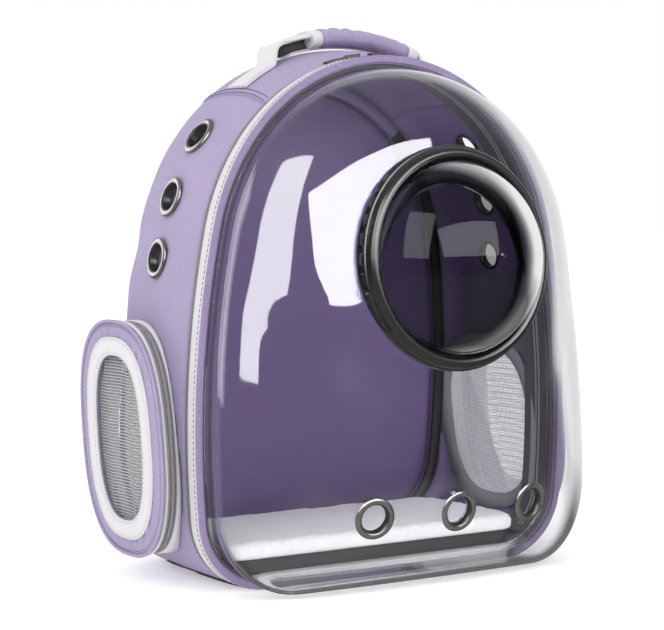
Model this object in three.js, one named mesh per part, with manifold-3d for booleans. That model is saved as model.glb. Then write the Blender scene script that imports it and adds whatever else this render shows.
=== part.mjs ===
// Bubble pet carrier backpack: an arched soft cabin with a clear domed door and a bubble window,
// a vent pouch on each side, a carry handle on top and two shoulder straps behind.
// Millimetres, +Z up. The clear door faces -Y and X is the width.
// The origin is the middle of the flat base underside.
import * as THREE from "three";
import { mergeVertices } from "three/addons/utils/BufferGeometryUtils.js";
import Module from "manifold-3d";

const wasm = await Module();
wasm.setup();

// Driving dimensions
const GAP = 0.3;
const RIM_WIDTH = 320;
const RIM_HEIGHT = 371;

// Arched outline: radii are shares of half the rim width, and the crown takes the rest of the turn
const BASE_STRAIGHT = { share: 0.65, steps: 1 };
const OUTLINE_ARCS = [
  { name: "lower corner", radius: 0.334, turn: 85.2, steps: 5 },
  { name: "side", radius: 4.44, turn: 16.2, steps: 3 },
  { name: "shoulder", radius: 1.01, turn: 26.9, steps: 3 },
];
const CROWN_STEPS = 7;
const SEAM_STEPS_PAST_SHOULDER = 2;

// Door rim, from front to back along Y: frame, piping, zip. Heights are measured inwards from the rim.
const FRAME_FRONT = -7;
const FRAME_DEPTH = 9;
const FRAME_WIDTH = 9;
const PIPING_DEPTH = 7;
const PIPING_WIDTH = 5;
const ZIP_DEPTH = 7;
const ZIP_WIDTH = 3.5;
const ZIP_RECESS = 1.5;
const SLIDER_THICKNESS = 4;
const SLIDER_WIDTH = 6.2;
const PULL_THICKNESS = 1.6;
const PULL_WIDTH = 4.8;
const ZIP_SLIDERS = [{ name: "left", from: -18, to: -46 }, { name: "right", from: -8, to: 18 }];

// Fabric cabin: wall, depth at the base, and how far the back leans forward over the height
const WALL = 3;
const BASE_DEPTH = 146;
const BASE_CENTRE_SHARE = 0.42;
const BACK_LEAN = 24;
const BODY_BULGE = 8;
const BODY_INSET = 3;
const BACK_ROUND = 24;
// Sections from the zip to the back edge: depth is a share of the cabin depth, inset a share of
// BACK_ROUND past BODY_INSET, rise a share of BODY_BULGE, and lift a share of BACK_ROUND
const BODY_SECTIONS = [
  { depth: 0.0, inset: 0.0, rise: -0.3, lift: 0.0 },
  { depth: 0.18, inset: -0.08, rise: 0.6, lift: 0.0 },
  { depth: 0.42, inset: -0.08, rise: 1.0, lift: 0.0 },
  { depth: 0.68, inset: 0.02, rise: 0.9, lift: 0.0 },
  { depth: 0.84, inset: 0.12, rise: 0.6, lift: 0.0 },
  { depth: 0.94, inset: 0.38, rise: -0.2, lift: 0.16 },
  { depth: 1.0, inset: 0.9, rise: -2.1, lift: 0.62 },
];

// Back panel, its binding, the floor board and the plush pad
const PANEL_THICKNESS = 8;
const PANEL_PROUD = 2;
const PANEL_SEAT = 2.6;
const BINDING_RADIUS = 5;
const BINDING_SEAT = -8.2;
const BOARD_TOP = 18;
const BOARD_MARGIN = 4;
const PAD_THICKNESS = 13;
const PAD_MARGIN = 7;
const PAD_EDGE = 5;
const PAD_OVERHANG = 9;
const FLOOR_CORNER = 26;

// Clear door: wall, depth over the eyelets, edge round, and how far its face leans back per mm of height
const SHELL_WALL = 2;
const SHELL_DEPTH = 86;
const SHELL_EDGE = 82;
const SHELL_LEAN = 0.065;
const SHELL_POWER = 2.25;
const SHELL_CROWN_RADIUS = 420;
const SHELL_EDGE_STEPS = [0, 0.02, 0.09, 0.22, 0.42, 0.66, 1];
const SHELL_FACE_STEPS = [0.45, 1];

// Bubble window: seat height, ring and dome
const BUBBLE_HEIGHT = 228;
const RING_RADIUS = 77;
const RING_BORE = 67;
const RING_FLANGE = 6.5;
const RING_LIP = 12.8;
const NECK_WALL = 3;
const NECK_DEPTH = 4;
const SEAT_BLEND = 60;
const DOME_WALL = 2;
const DOME_RISE = 44;
const BUBBLE_STEPS = 28;

// Eyelets
const EYELET_RADIUS = 14.5;
const EYELET_BORE = 8.8;
const EYELET_PROUD = 1.6;
const EYELET_WALL = 1.2;
const SIDE_EYELET_CLEARANCE = 1;
const FRONT_EYELET_CLEARANCE = 2.8;
const FRONT_EYELETS = { count: 3, pitch: 66, height: 56 };
// Side eyelets: depth is a share of BASE_DEPTH and height a share of RIM_HEIGHT
const SIDE_EYELETS = [
  { depth: 0.418, height: 0.844 },
  { depth: 0.445, height: 0.728 },
  { depth: 0.479, height: 0.612 },
];

// Side vent pouches: a leaning rounded oval in the side plane
const POUCH_LENGTH = 122;
const POUCH_HEIGHT = 162;
const POUCH_DEPTH_CENTRE = 76;
const POUCH_HEIGHT_CENTRE = 102;
const POUCH_SHEAR = 0.14;
const POUCH_POWER = 2.6;
const POUCH_STEPS = 22;
const POUCH_WALL = 3;
const POUCH_FLARE = 10;
const POUCH_BASE_PROUD = 2;
const POUCH_ZIP_DEPTH = 7.5;
const POUCH_RIM_DEPTH = 4.5;
const POUCH_FACE = 3;
const TRIM_LENGTH = 96;
const TRIM_HEIGHT = 140;
const TRIM_THICKNESS = 1.5;
const WINDOW_LENGTH = 70;
const WINDOW_HEIGHT = 114;
const NET_THICKNESS = 1.2;
const SIDE_HOLE_LENGTH = 100;
const SIDE_HOLE_HEIGHT = 124;
const SIDE_HOLE_CENTRE_DROP = 8;

// Carry handle: webbing with a padded grip. Heights are above the rim top, reach is along X.
const WEBBING_WIDTH = 25;
const WEBBING_THICKNESS = 2.2;
const HANDLE_DEPTH = 62;
const HANDLE_FOOT_REACH = 84;
const HANDLE_BEND_REACH = 60;
const HANDLE_BEND_ROUND = 10;
const HANDLE_SHOULDER_HEIGHT = 6;
const HANDLE_TOP_HEIGHT = 17;
const GRIP_LENGTH = 84;
const GRIP_SHIFT = 18;
const GRIP_WIDTH = 29;
const GRIP_HEIGHT = 14;
const CUFF_LENGTH = 8;

// Shoulder straps on the back
const STRAP_WIDTH = 56;
const STRAP_THICKNESS = 9;
const STRAP_REACH = 52;
const STRAP_SPREAD = 38;
const STRAP_STAND_OFF = 22;
const STRAP_TOP = 318;
const STRAP_END = 118;
const TAIL_END = 42;
const BUCKLE_LENGTH = 26;
const BUCKLE_WIDTH = 36;
const BUCKLE_THICKNESS = 5;

// Places that follow from the driving dimensions
const FRAME_BACK = FRAME_FRONT + FRAME_DEPTH;
const PIPING_FRONT = FRAME_BACK + GAP;
const ZIP_FRONT = PIPING_FRONT + PIPING_DEPTH + GAP;
const BODY_FRONT = ZIP_FRONT + ZIP_DEPTH + GAP;
const BASE_CENTRE = BODY_FRONT + BASE_CENTRE_SHARE * (BASE_DEPTH - BODY_FRONT);
const SHELL_INSET = FRAME_WIDTH + GAP;

const FINISHES = {
  fabric: { color: 0x9a86b8, roughness: 0.85, metalness: 0 },
  fabric_dark: { color: 0x5f4d80, roughness: 0.85, metalness: 0 },
  webbing: { color: 0xdedee2, roughness: 0.8, metalness: 0 },
  zip: { color: 0x6b6b6e, roughness: 0.6, metalness: 0 },
  board: { color: 0x77777a, roughness: 0.8, metalness: 0 },
  plush: { color: 0xece9ee, roughness: 0.95, metalness: 0 },
  black: { color: 0x1b1b1d, roughness: 0.5, metalness: 0 },
  plastic: { color: 0x18181a, roughness: 0.3, metalness: 0 },
  clear: { color: 0xe8ecf0, roughness: 0.05, metalness: 0 },
  metal: { color: 0x8b8b86, roughness: 0.3, metalness: 0.9 },
  net: { color: 0xb9b9bb, roughness: 0.7, metalness: 0 },
};

const pack = new THREE.Group();
pack.position.y = -BASE_CENTRE;

function addPiece(name, geometry, finish) {
  const material = new THREE.MeshStandardMaterial(FINISHES[finish]);
  const mesh = new THREE.Mesh(geometry, material);
  mesh.name = name;
  pack.add(mesh);
  return mesh;
}

// Closed solids and cuts

function cleanGeometry(points, faces) {
  const raw = new THREE.BufferGeometry();
  raw.setAttribute("position", new THREE.Float32BufferAttribute(points.flatMap((p) => [p.x, p.y, p.z]), 3));
  raw.setIndex(faces.flat());
  const merged = mergeVertices(raw, 1e-3);
  const index = merged.index.array;
  const kept = [];
  for (let i = 0; i < index.length; i += 3) {
    const [a, b, c] = [index[i], index[i + 1], index[i + 2]];
    if (a !== b && b !== c && c !== a) kept.push(a, b, c);
  }
  merged.setIndex(kept);
  return merged;
}

function toManifold(geometry) {
  const bare = geometry.clone();
  bare.deleteAttribute("normal");
  bare.deleteAttribute("uv");
  const merged = mergeVertices(bare, 1e-3);
  return new wasm.Manifold(new wasm.Mesh({
    numProp: 3,
    vertProperties: new Float32Array(merged.attributes.position.array),
    triVerts: new Uint32Array(merged.index.array),
  }));
}

function fromManifold(solid) {
  const mesh = solid.getMesh();
  const geometry = new THREE.BufferGeometry();
  geometry.setAttribute("position", new THREE.Float32BufferAttribute(mesh.vertProperties, 3));
  geometry.setIndex(Array.from(mesh.triVerts));
  return geometry;
}

function cut(geometry, tools) {
  let solid = toManifold(geometry);
  for (const tool of tools) solid = solid.subtract(toManifold(tool));
  return fromManifold(solid);
}

// A grid of points closed both ways, or capped by fans where its rows are open
function gridSolid(rows, rowsWrap) {
  const points = rows.flat();
  const width = rows[0].length;
  const faces = [];
  const last = rowsWrap ? rows.length : rows.length - 1;
  for (let i = 0; i < last; i += 1) {
    const next = (i + 1) % rows.length;
    for (let j = 0; j < width; j += 1) {
      const across = (j + 1) % width;
      const [a, b] = [i * width + j, i * width + across];
      const [c, d] = [next * width + across, next * width + j];
      faces.push([a, b, c], [a, c, d]);
    }
  }
  if (!rowsWrap) {
    const end = (rows.length - 1) * width;
    for (let j = 1; j < width - 1; j += 1) {
      faces.push([0, j + 1, j], [end, end + j, end + j + 1]);
    }
  }
  return faceOut(points, faces);
}

// Turns all faces round when the solid would come out inside out
function faceOut(points, faces) {
  let volume = 0;
  for (const [a, b, c] of faces) {
    volume += points[a].dot(new THREE.Vector3().crossVectors(points[b], points[c]));
  }
  const turned = volume < 0 ? faces.map(([a, b, c]) => [a, c, b]) : faces;
  return cleanGeometry(points, turned);
}

// A wall between an outer and an inner grid of the same size
function sheetSolid(outer, inner, wraps) {
  const rows = outer.length;
  const width = outer[0].length;
  const points = [...outer.flat(), ...inner.flat()];
  const shift = rows * width;
  const faces = [];
  const quad = (a, b, c, d) => faces.push([a, b, c], [a, c, d]);
  const last = wraps ? rows : rows - 1;
  for (let i = 0; i < last; i += 1) {
    const next = (i + 1) % rows;
    for (let j = 0; j < width - 1; j += 1) {
      const [a, b, c, d] = [i * width + j, i * width + j + 1, next * width + j + 1, next * width + j];
      quad(a, b, c, d);
      quad(shift + d, shift + c, shift + b, shift + a);
    }
    const [start, startNext] = [i * width, next * width];
    const [end, endNext] = [start + width - 1, startNext + width - 1];
    quad(startNext, shift + startNext, shift + start, start);
    quad(end, shift + end, shift + endNext, endNext);
  }
  if (!wraps) {
    const top = (rows - 1) * width;
    for (let j = 0; j < width - 1; j += 1) {
      quad(j + 1, j, shift + j, shift + j + 1);
      quad(top + j, top + j + 1, shift + top + j + 1, shift + top + j);
    }
  }
  return faceOut(points, faces);
}

// Half outline with half width 1 and height 1, from the middle of the base to the crown
function unitHalfOutline() {
  const points = [];
  for (let i = 0; i < BASE_STRAIGHT.steps; i += 1) {
    points.push({ x: (BASE_STRAIGHT.share * i) / BASE_STRAIGHT.steps, z: 0 });
  }
  let heading = 0;
  let at = { x: BASE_STRAIGHT.share, z: 0 };
  points.push({ ...at });
  const runArc = (radius, turn, steps) => {
    const centre = { x: at.x - radius * Math.sin(heading), z: at.z + radius * Math.cos(heading) };
    const from = heading;
    for (let i = 1; i <= steps; i += 1) {
      const angle = from + (turn * i) / steps;
      points.push({ x: centre.x + radius * Math.sin(angle), z: centre.z - radius * Math.cos(angle) });
    }
    heading = from + turn;
    at = { ...points[points.length - 1] };
  };
  for (const arc of OUTLINE_ARCS) runArc(arc.radius, THREE.MathUtils.degToRad(arc.turn), arc.steps);
  const crownTurn = Math.PI - heading;
  runArc(at.x / Math.sin(crownTurn), crownTurn, CROWN_STEPS);
  const widest = Math.max(...points.map((p) => p.x));
  const tallest = points[points.length - 1].z;
  return points.map((p) => ({ x: p.x / widest, z: p.z / tallest }));
}

const UNIT_HALF = unitHalfOutline();
const HALF_COUNT = UNIT_HALF.length;
const CORNER_INDEX = BASE_STRAIGHT.steps;
const SEAM_INDEX = HALF_COUNT - 1 - CROWN_STEPS + SEAM_STEPS_PAST_SHOULDER;
const UNIT_LOOP = [
  ...UNIT_HALF,
  ...UNIT_HALF.slice(1, -1).reverse().map((p) => ({ x: -p.x, z: p.z })),
];
const LOOP_COUNT = UNIT_LOOP.length;

// The loop at a half width, between a lowest and a highest point
function scaledLoop(halfWidth, low, high) {
  return UNIT_LOOP.map((p) => new THREE.Vector2(p.x * halfWidth, low + p.z * (high - low)));
}

// Outward unit normals of a closed 2-D loop that runs counter-clockwise
function loopNormals(loop) {
  return loop.map((_, i) => {
    const before = loop[(i + loop.length - 1) % loop.length];
    const after = loop[(i + 1) % loop.length];
    return new THREE.Vector2(after.y - before.y, before.x - after.x).normalize();
  });
}

const RIM_LOOP = scaledLoop(RIM_WIDTH / 2, 0, RIM_HEIGHT);
const RIM_NORMALS = loopNormals(RIM_LOOP);

function rimPoint(index, inset, y) {
  const p = RIM_LOOP[index];
  const n = RIM_NORMALS[index];
  return new THREE.Vector3(p.x - n.x * inset, y, p.y - n.y * inset);
}

// A closed ring round the rim, its section a list of inset and depth
function rimRing(section) {
  const rows = RIM_LOOP.map((_, i) => section.map((s) => rimPoint(i, s.inset, s.y)));
  return gridSolid(rows, true);
}

function addDoorRim() {
  const round = 2.6;
  const frame = [
    { inset: 0, y: FRAME_FRONT + round }, { inset: 0, y: FRAME_BACK }, { inset: FRAME_WIDTH, y: FRAME_BACK },
    { inset: FRAME_WIDTH, y: FRAME_FRONT + round }, { inset: FRAME_WIDTH - round, y: FRAME_FRONT },
    { inset: round, y: FRAME_FRONT },
  ];
  addPiece("front_frame", rimRing(frame), "fabric");
  const pipingBack = PIPING_FRONT + PIPING_DEPTH;
  const piping = [
    { inset: 0.6, y: PIPING_FRONT + 2 }, { inset: 0.6, y: pipingBack - 2 }, { inset: 2.4, y: pipingBack },
    { inset: PIPING_WIDTH, y: pipingBack }, { inset: PIPING_WIDTH, y: PIPING_FRONT },
    { inset: 2.4, y: PIPING_FRONT },
  ];
  addPiece("front_piping", rimRing(piping), "webbing");
  const zip = [
    { inset: ZIP_RECESS, y: ZIP_FRONT }, { inset: ZIP_RECESS, y: ZIP_FRONT + ZIP_DEPTH },
    { inset: ZIP_RECESS + ZIP_WIDTH, y: ZIP_FRONT + ZIP_DEPTH },
    { inset: ZIP_RECESS + ZIP_WIDTH, y: ZIP_FRONT },
  ];
  addPiece("front_zip", rimRing(zip), "zip");
}

function crownHeight(x) {
  const spans = RIM_LOOP.map((p, i) => [p, RIM_LOOP[(i + 1) % RIM_LOOP.length]]);
  const above = spans.filter(([p, q]) => Math.min(p.y, q.y) > RIM_HEIGHT / 2);
  const [a, b] = above.find(([p, q]) => (p.x - x) * (q.x - x) <= 0);
  return a.y + ((b.y - a.y) * (x - a.x)) / (b.x - a.x);
}

// Two sliders seated on the zip at the crown, each with a flat pull
function addZipSliders() {
  const onZip = GAP - ZIP_RECESS;
  const sections = [
    { at: 0, width: SLIDER_WIDTH, low: onZip, high: onZip + SLIDER_THICKNESS },
    { at: 0.34, width: SLIDER_WIDTH, low: onZip, high: onZip + SLIDER_THICKNESS },
    { at: 0.4, width: PULL_WIDTH, low: GAP, high: GAP + PULL_THICKNESS },
    { at: 0.7, width: PULL_WIDTH, low: GAP, high: GAP + PULL_THICKNESS },
    { at: 1, width: PULL_WIDTH, low: GAP, high: GAP + PULL_THICKNESS },
  ];
  for (const { name, from, to } of ZIP_SLIDERS) {
    const path = sections.map(({ at, low, high }) => {
      const x = from + (to - from) * at;
      return new THREE.Vector3(x, ZIP_FRONT + ZIP_DEPTH / 2, crownHeight(x) + (low + high) / 2);
    });
    const width = (i) => sections[i].width;
    const thickness = (i) => sections[i].high - sections[i].low;
    const solid = strapAlong(path, new THREE.Vector3(0, 1, 0), width, thickness, true);
    addPiece(`zip_slider_${name}`, solid, "black");
  }
}

// Cabin surface

function backDepth(z) {
  return BASE_DEPTH - (BACK_LEAN * z) / RIM_HEIGHT;
}

function sectionAt(share) {
  const next = Math.max(1, BODY_SECTIONS.findIndex((s) => s.depth >= share));
  const [a, b] = [BODY_SECTIONS[next - 1], BODY_SECTIONS[next]];
  const t = (share - a.depth) / (b.depth - a.depth);
  const mix = (key) => a[key] + (b[key] - a[key]) * t;
  return { inset: mix("inset"), rise: mix("rise"), lift: mix("lift") };
}

function bodyLoop(share) {
  const section = sectionAt(share);
  const halfWidth = RIM_WIDTH / 2 - BODY_INSET - section.inset * BACK_ROUND;
  return scaledLoop(halfWidth, section.lift * BACK_ROUND, RIM_HEIGHT + section.rise * BODY_BULGE);
}

function bodyGrid() {
  const loops = BODY_SECTIONS.map((s) => bodyLoop(s.depth));
  return UNIT_LOOP.map((_, i) => BODY_SECTIONS.map((s, j) => {
    const p = loops[j][i];
    return new THREE.Vector3(p.x, BODY_FRONT + s.depth * (backDepth(p.y) - BODY_FRONT), p.y);
  }));
}

// The same grid moved inwards along its own normals
function offsetGrid(grid, distance) {
  const rows = grid.length;
  const width = grid[0].length;
  return grid.map((row, i) => row.map((p, j) => {
    const around = new THREE.Vector3().subVectors(grid[(i + 1) % rows][j], grid[(i + rows - 1) % rows][j]);
    const along = new THREE.Vector3().subVectors(row[Math.min(j + 1, width - 1)], row[Math.max(j - 1, 0)]);
    const normal = new THREE.Vector3().crossVectors(around, along).normalize();
    if (normal.dot(new THREE.Vector3(p.x, 0, p.z - RIM_HEIGHT / 2)) < 0) normal.negate();
    return p.clone().addScaledVector(normal, -distance);
  }));
}

// Half width of the cabin side at a depth and height
function sideReach(y, z) {
  const share = THREE.MathUtils.clamp((y - BODY_FRONT) / (backDepth(z) - BODY_FRONT), 0, 1);
  const loop = bodyLoop(share).slice(0, HALF_COUNT);
  const next = Math.max(1, loop.findIndex((p) => p.y >= z));
  const [a, b] = [loop[next - 1], loop[next]];
  return a.x + ((b.x - a.x) * (z - a.y)) / (b.y - a.y || 1);
}

// A stretch of the cabin wall between two loop indices, its ends drawn in by a gap
function wallStretch(outer, inner, from, to) {
  const pick = (grid, i) => grid[(i + LOOP_COUNT) % LOOP_COUNT];
  const drawIn = (grid) => {
    const rows = [];
    for (let i = from; i <= to; i += 1) rows.push(pick(grid, i).map((p) => p.clone()));
    const nudge = (row, beside) => row.forEach((p, j) => {
      const step = new THREE.Vector3().subVectors(beside[j], p).normalize();
      p.addScaledVector(step, GAP);
    });
    nudge(rows[0], rows[1]);
    nudge(rows[rows.length - 1], rows[rows.length - 2]);
    return rows;
  };
  return sheetSolid(drawIn(outer), drawIn(inner), false);
}

function roundBar(radius, length, axis, at) {
  const bar = new THREE.CylinderGeometry(radius, radius, length, 12);
  const turn = new THREE.Quaternion().setFromUnitVectors(new THREE.Vector3(0, 1, 0), axis);
  bar.applyQuaternion(turn);
  bar.translate(at.x, at.y, at.z);
  return bar;
}

// Leaning rounded oval in the side plane, as pairs of depth and height
function pouchOval(length, height, heightCentre) {
  const points = [];
  for (let i = 0; i < POUCH_STEPS; i += 1) {
    const angle = (2 * Math.PI * i) / POUCH_STEPS;
    const bend = (value) => Math.sign(value) * Math.abs(value) ** (2 / POUCH_POWER);
    const z = heightCentre + (height / 2) * bend(Math.sin(angle));
    const lean = POUCH_SHEAR * (z - POUCH_HEIGHT_CENTRE);
    points.push(new THREE.Vector2(POUCH_DEPTH_CENTRE + (length / 2) * bend(Math.cos(angle)) + lean, z));
  }
  return points;
}

// A plug in the shape of an oval, run through a side wall
function ovalPlug(oval, side, from, to) {
  const rows = [from, to].map((x) => oval.map((p) => new THREE.Vector3(side * x, p.x, p.y)));
  return gridSolid(rows, false);
}

// Where a side eyelet sits, and the way the wall faces there
function eyeletSeat(eyelet, side) {
  const depth = eyelet.depth * BASE_DEPTH;
  const height = eyelet.height * RIM_HEIGHT;
  const reach = sideReach(depth, height);
  const span = EYELET_RADIUS / 2;
  const lower = sideReach(depth, height - span);
  const upper = sideReach(depth, height + span);
  const before = sideReach(depth - span, height);
  const after = sideReach(depth + span, height);
  const normal = new THREE.Vector3(1, (before - after) / (2 * span), (lower - upper) / (2 * span));
  normal.x *= side;
  return { at: new THREE.Vector3(side * reach, depth, height), normal: normal.normalize() };
}

const SIDES = [{ name: "left", sign: -1 }, { name: "right", sign: 1 }];

function addCabin() {
  const outer = bodyGrid();
  const inner = offsetGrid(outer, WALL);
  const hole = pouchOval(SIDE_HOLE_LENGTH, SIDE_HOLE_HEIGHT, POUCH_HEIGHT_CENTRE - SIDE_HOLE_CENTRE_DROP);
  for (const side of SIDES) {
    const mirrored = side.sign < 0;
    const from = mirrored ? LOOP_COUNT - SEAM_INDEX : CORNER_INDEX;
    const to = mirrored ? LOOP_COUNT - CORNER_INDEX : SEAM_INDEX;
    const tools = SIDE_EYELETS.map((eyelet) => {
      const seat = eyeletSeat(eyelet, side.sign);
      return roundBar(EYELET_BORE + EYELET_WALL + 3 * GAP, 10 * WALL, seat.normal, seat.at);
    });
    tools.push(ovalPlug(hole, side.sign, RIM_WIDTH / 4, RIM_WIDTH));
    addPiece(`${side.name}_side_band`, cut(wallStretch(outer, inner, from, to), tools), "fabric");
  }
  addPiece("top_band", wallStretch(outer, inner, SEAM_INDEX, LOOP_COUNT - SEAM_INDEX), "fabric");
  addPiece("base_panel", wallStretch(outer, inner, -CORNER_INDEX, CORNER_INDEX), "black");
  addBackPanel(outer);
}

// The panel fills the back edge of the cabin and stands forward by its own thickness
function addBackPanel(outer) {
  const last = outer[0].length - 1;
  const edge = outer.map((row) => row[last]);
  const flat = edge.map((p) => new THREE.Vector2(p.x, p.z));
  const normals = loopNormals(flat);
  const place = (i, inset, forward) => {
    const z = flat[i].y - normals[i].y * inset;
    return new THREE.Vector3(flat[i].x - normals[i].x * inset, backDepth(z) - forward, z);
  };
  const rows = [
    { inset: PANEL_SEAT + 3, forward: -PANEL_PROUD }, { inset: PANEL_SEAT, forward: 0 },
    { inset: PANEL_SEAT, forward: PANEL_THICKNESS - 2 }, { inset: PANEL_SEAT + 2, forward: PANEL_THICKNESS },
  ].map((layer) => flat.map((_, i) => place(i, layer.inset, layer.forward)));
  addPiece("back_panel", cappedStack(rows), "fabric_dark");
  const binding = flat.map((_, i) => {
    const ring = [];
    for (let k = 0; k < 6; k += 1) {
      const angle = (Math.PI * k) / 3;
      const inset = BINDING_SEAT + BINDING_RADIUS * (1 + Math.cos(angle));
      const forward = PANEL_THICKNESS + GAP + BINDING_RADIUS * 0.5 * (1 + Math.sin(angle));
      ring.push(place(i, inset, forward));
    }
    return ring;
  });
  addPiece("back_binding", gridSolid(binding, true), "black");
}

// Loops stacked into a solid whose two end loops are nearly flat and are closed across X
function cappedStack(rows) {
  const points = rows.flat();
  const width = rows[0].length;
  const faces = [];
  for (let i = 0; i < rows.length - 1; i += 1) {
    for (let j = 0; j < width; j += 1) {
      const across = (j + 1) % width;
      const [a, b] = [i * width + j, i * width + across];
      faces.push([a, b, b + width], [a, b + width, a + width]);
    }
  }
  const end = (rows.length - 1) * width;
  for (let j = 0; j < width / 2; j += 1) {
    const [near, nearNext] = [j, j + 1];
    const [far, farNext] = [(width - j) % width, (width - j - 1) % width];
    faces.push([near, far, farNext], [near, farNext, nearNext]);
    faces.push([end + near, end + farNext, end + far], [end + near, end + nearNext, end + farNext]);
  }
  return faceOut(points, faces.filter(([a, b, c]) => a !== b && b !== c && c !== a));
}

// Floor pieces follow the inside of the cabin wall at their own height
function floorLayer(margin, low, high, edge, overhang) {
  const from = BODY_FRONT + GAP - overhang;
  const backAt = backDepth(high) - PANEL_THICKNESS - 2 * BINDING_RADIUS - margin;
  const steps = 12;
  const loopAt = (z, inset) => {
    const points = [];
    const reach = sideReach(BASE_CENTRE, z - WALL) - WALL - margin - inset;
    const [y0, y1] = [from + inset, backAt - inset];
    for (const [cx, cy, start] of [[1, 1, 0], [-1, 1, 1], [-1, -1, 2], [1, -1, 3]]) {
      const r = cy > 0 ? FLOOR_CORNER : FLOOR_CORNER / 3;
      for (let k = 0; k <= steps / 4; k += 1) {
        const angle = (Math.PI / 2) * (start + k / (steps / 4));
        const x = cx * (reach - r) + r * Math.cos(angle);
        const y = (cy > 0 ? y1 - r : y0 + r) + r * Math.sin(angle);
        points.push(new THREE.Vector3(x, y, z));
      }
    }
    return points;
  };
  const rows = [
    loopAt(low, edge * 0.6), loopAt(low + edge * 0.5, 0), loopAt(high - edge, 0),
    loopAt(high - edge * 0.3, edge * 0.4), loopAt(high, edge * 1.4),
  ];
  return gridSolid(rows, false);
}

function addFloor() {
  addPiece("floor_board", floorLayer(BOARD_MARGIN, WALL + GAP, BOARD_TOP, 1, 0), "board");
  const low = BOARD_TOP + GAP;
  addPiece("floor_pad", floorLayer(PAD_MARGIN, low, low + PAD_THICKNESS, PAD_EDGE, PAD_OVERHANG), "plush");
}

// Depth of the door face in front of the rim, before its edge rounds back
function faceDepth(x, z) {
  const away = Math.hypot(x, z - BUBBLE_HEIGHT) - RING_RADIUS;
  const blend = THREE.MathUtils.smoothstep(away, 4, SEAT_BLEND);
  const crown = (blend * x * x) / (2 * SHELL_CROWN_RADIUS);
  return SHELL_DEPTH - SHELL_LEAN * (z - FRONT_EYELETS.height) - crown;
}

// One skin of the clear door, drawn in from the rim towards the middle of the bubble
function shellSkin(inward) {
  const core = new THREE.Vector3(0, 0, BUBBLE_HEIGHT);
  return RIM_LOOP.map((_, i) => {
    const start = rimPoint(i, SHELL_INSET + inward, 0);
    const span = start.distanceTo(core);
    const edge = SHELL_EDGE - inward;
    const distances = SHELL_EDGE_STEPS.map((u) => u * edge);
    for (const t of SHELL_FACE_STEPS) distances.push(edge + (span - edge) * t);
    const row = distances.map((distance) => {
      const p = start.clone().lerp(core, Math.min(distance / span, 1));
      const u = Math.min(distance / edge, 1);
      const rise = (1 - (1 - u) ** SHELL_POWER) ** (1 / SHELL_POWER);
      p.y = -(faceDepth(p.x, p.z) - inward) * rise;
      return p;
    });
    row.unshift(new THREE.Vector3(start.x, FRAME_BACK - GAP, start.z));
    return row;
  });
}

const SEAT_NORMAL = new THREE.Vector3(0, -1, SHELL_LEAN).normalize();
const SEAT = new THREE.Vector3(0, -faceDepth(0, BUBBLE_HEIGHT), BUBBLE_HEIGHT);

// A turned piece whose axis leaves the door face at the bubble seat
function turnedPiece(profile, steps, at, normal) {
  const points = profile.map(([r, h]) => new THREE.Vector2(r, h));
  points.push(points[0].clone());
  const turned = new THREE.LatheGeometry(points, steps);
  turned.applyQuaternion(new THREE.Quaternion().setFromUnitVectors(new THREE.Vector3(0, 1, 0), normal));
  turned.translate(at.x, at.y, at.z);
  turned.deleteAttribute("normal");
  turned.deleteAttribute("uv");
  const index = turned.index.array;
  const position = turned.attributes.position;
  const corners = [];
  for (let i = 0; i < position.count; i += 1) {
    corners.push(new THREE.Vector3().fromBufferAttribute(position, i));
  }
  const faces = [];
  for (let i = 0; i < index.length; i += 3) faces.push([index[i], index[i + 1], index[i + 2]]);
  return faceOut(corners, faces);
}

// The three front eyelets sit on the door face in one row
function frontEyeletSeats() {
  const seats = [];
  for (let i = 0; i < FRONT_EYELETS.count; i += 1) {
    const x = (i - (FRONT_EYELETS.count - 1) / 2) * FRONT_EYELETS.pitch;
    const surface = (px, pz) => {
      const edge = Math.min(pz / SHELL_EDGE, 1);
      const rise = (1 - (1 - edge) ** SHELL_POWER) ** (1 / SHELL_POWER);
      return -faceDepth(px, pz) * rise;
    };
    const z = FRONT_EYELETS.height;
    const span = 6;
    const normal = new THREE.Vector3(
      (surface(x + span, z) - surface(x - span, z)) / (2 * span),
      -1,
      (surface(x, z + span) - surface(x, z - span)) / (2 * span),
    ).normalize();
    seats.push({ at: new THREE.Vector3(x, surface(x, z), z), normal });
  }
  return seats;
}

// Puts an eyelet seat on the real face of the door, found along its own normal
function settleOnShell(seat, shell) {
  const mesh = new THREE.Mesh(shell, new THREE.MeshBasicMaterial({ side: THREE.DoubleSide }));
  const outside = seat.at.clone().addScaledVector(seat.normal, SHELL_DEPTH / 2);
  const ray = new THREE.Raycaster(outside, seat.normal.clone().negate());
  const hit = ray.intersectObject(mesh)[0];
  return { at: hit.point.clone(), normal: seat.normal };
}

function addDoor() {
  const shell = sheetSolid(shellSkin(0), shellSkin(SHELL_WALL), true);
  const seats = frontEyeletSeats().map((seat) => settleOnShell(seat, shell));
  const neckRadius = RING_BORE + NECK_WALL;
  const eyeletHole = EYELET_BORE + EYELET_WALL + 3 * GAP;
  const tools = seats.map((seat) => roundBar(eyeletHole, 12 * SHELL_WALL, seat.normal, seat.at));
  const holeRadius = neckRadius + 4 * GAP;
  tools.push(new THREE.CylinderGeometry(holeRadius, holeRadius, SHELL_DEPTH / 2, BUBBLE_STEPS)
    .applyQuaternion(new THREE.Quaternion().setFromUnitVectors(new THREE.Vector3(0, 1, 0), SEAT_NORMAL))
    .translate(SEAT.x, SEAT.y, SEAT.z));
  addPiece("clear_shell", cut(shell, tools), "clear");
  seats.forEach((seat, i) => addEyelet(`front_eyelet_${i + 1}`, seat, SHELL_WALL, FRONT_EYELET_CLEARANCE));
}

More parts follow.
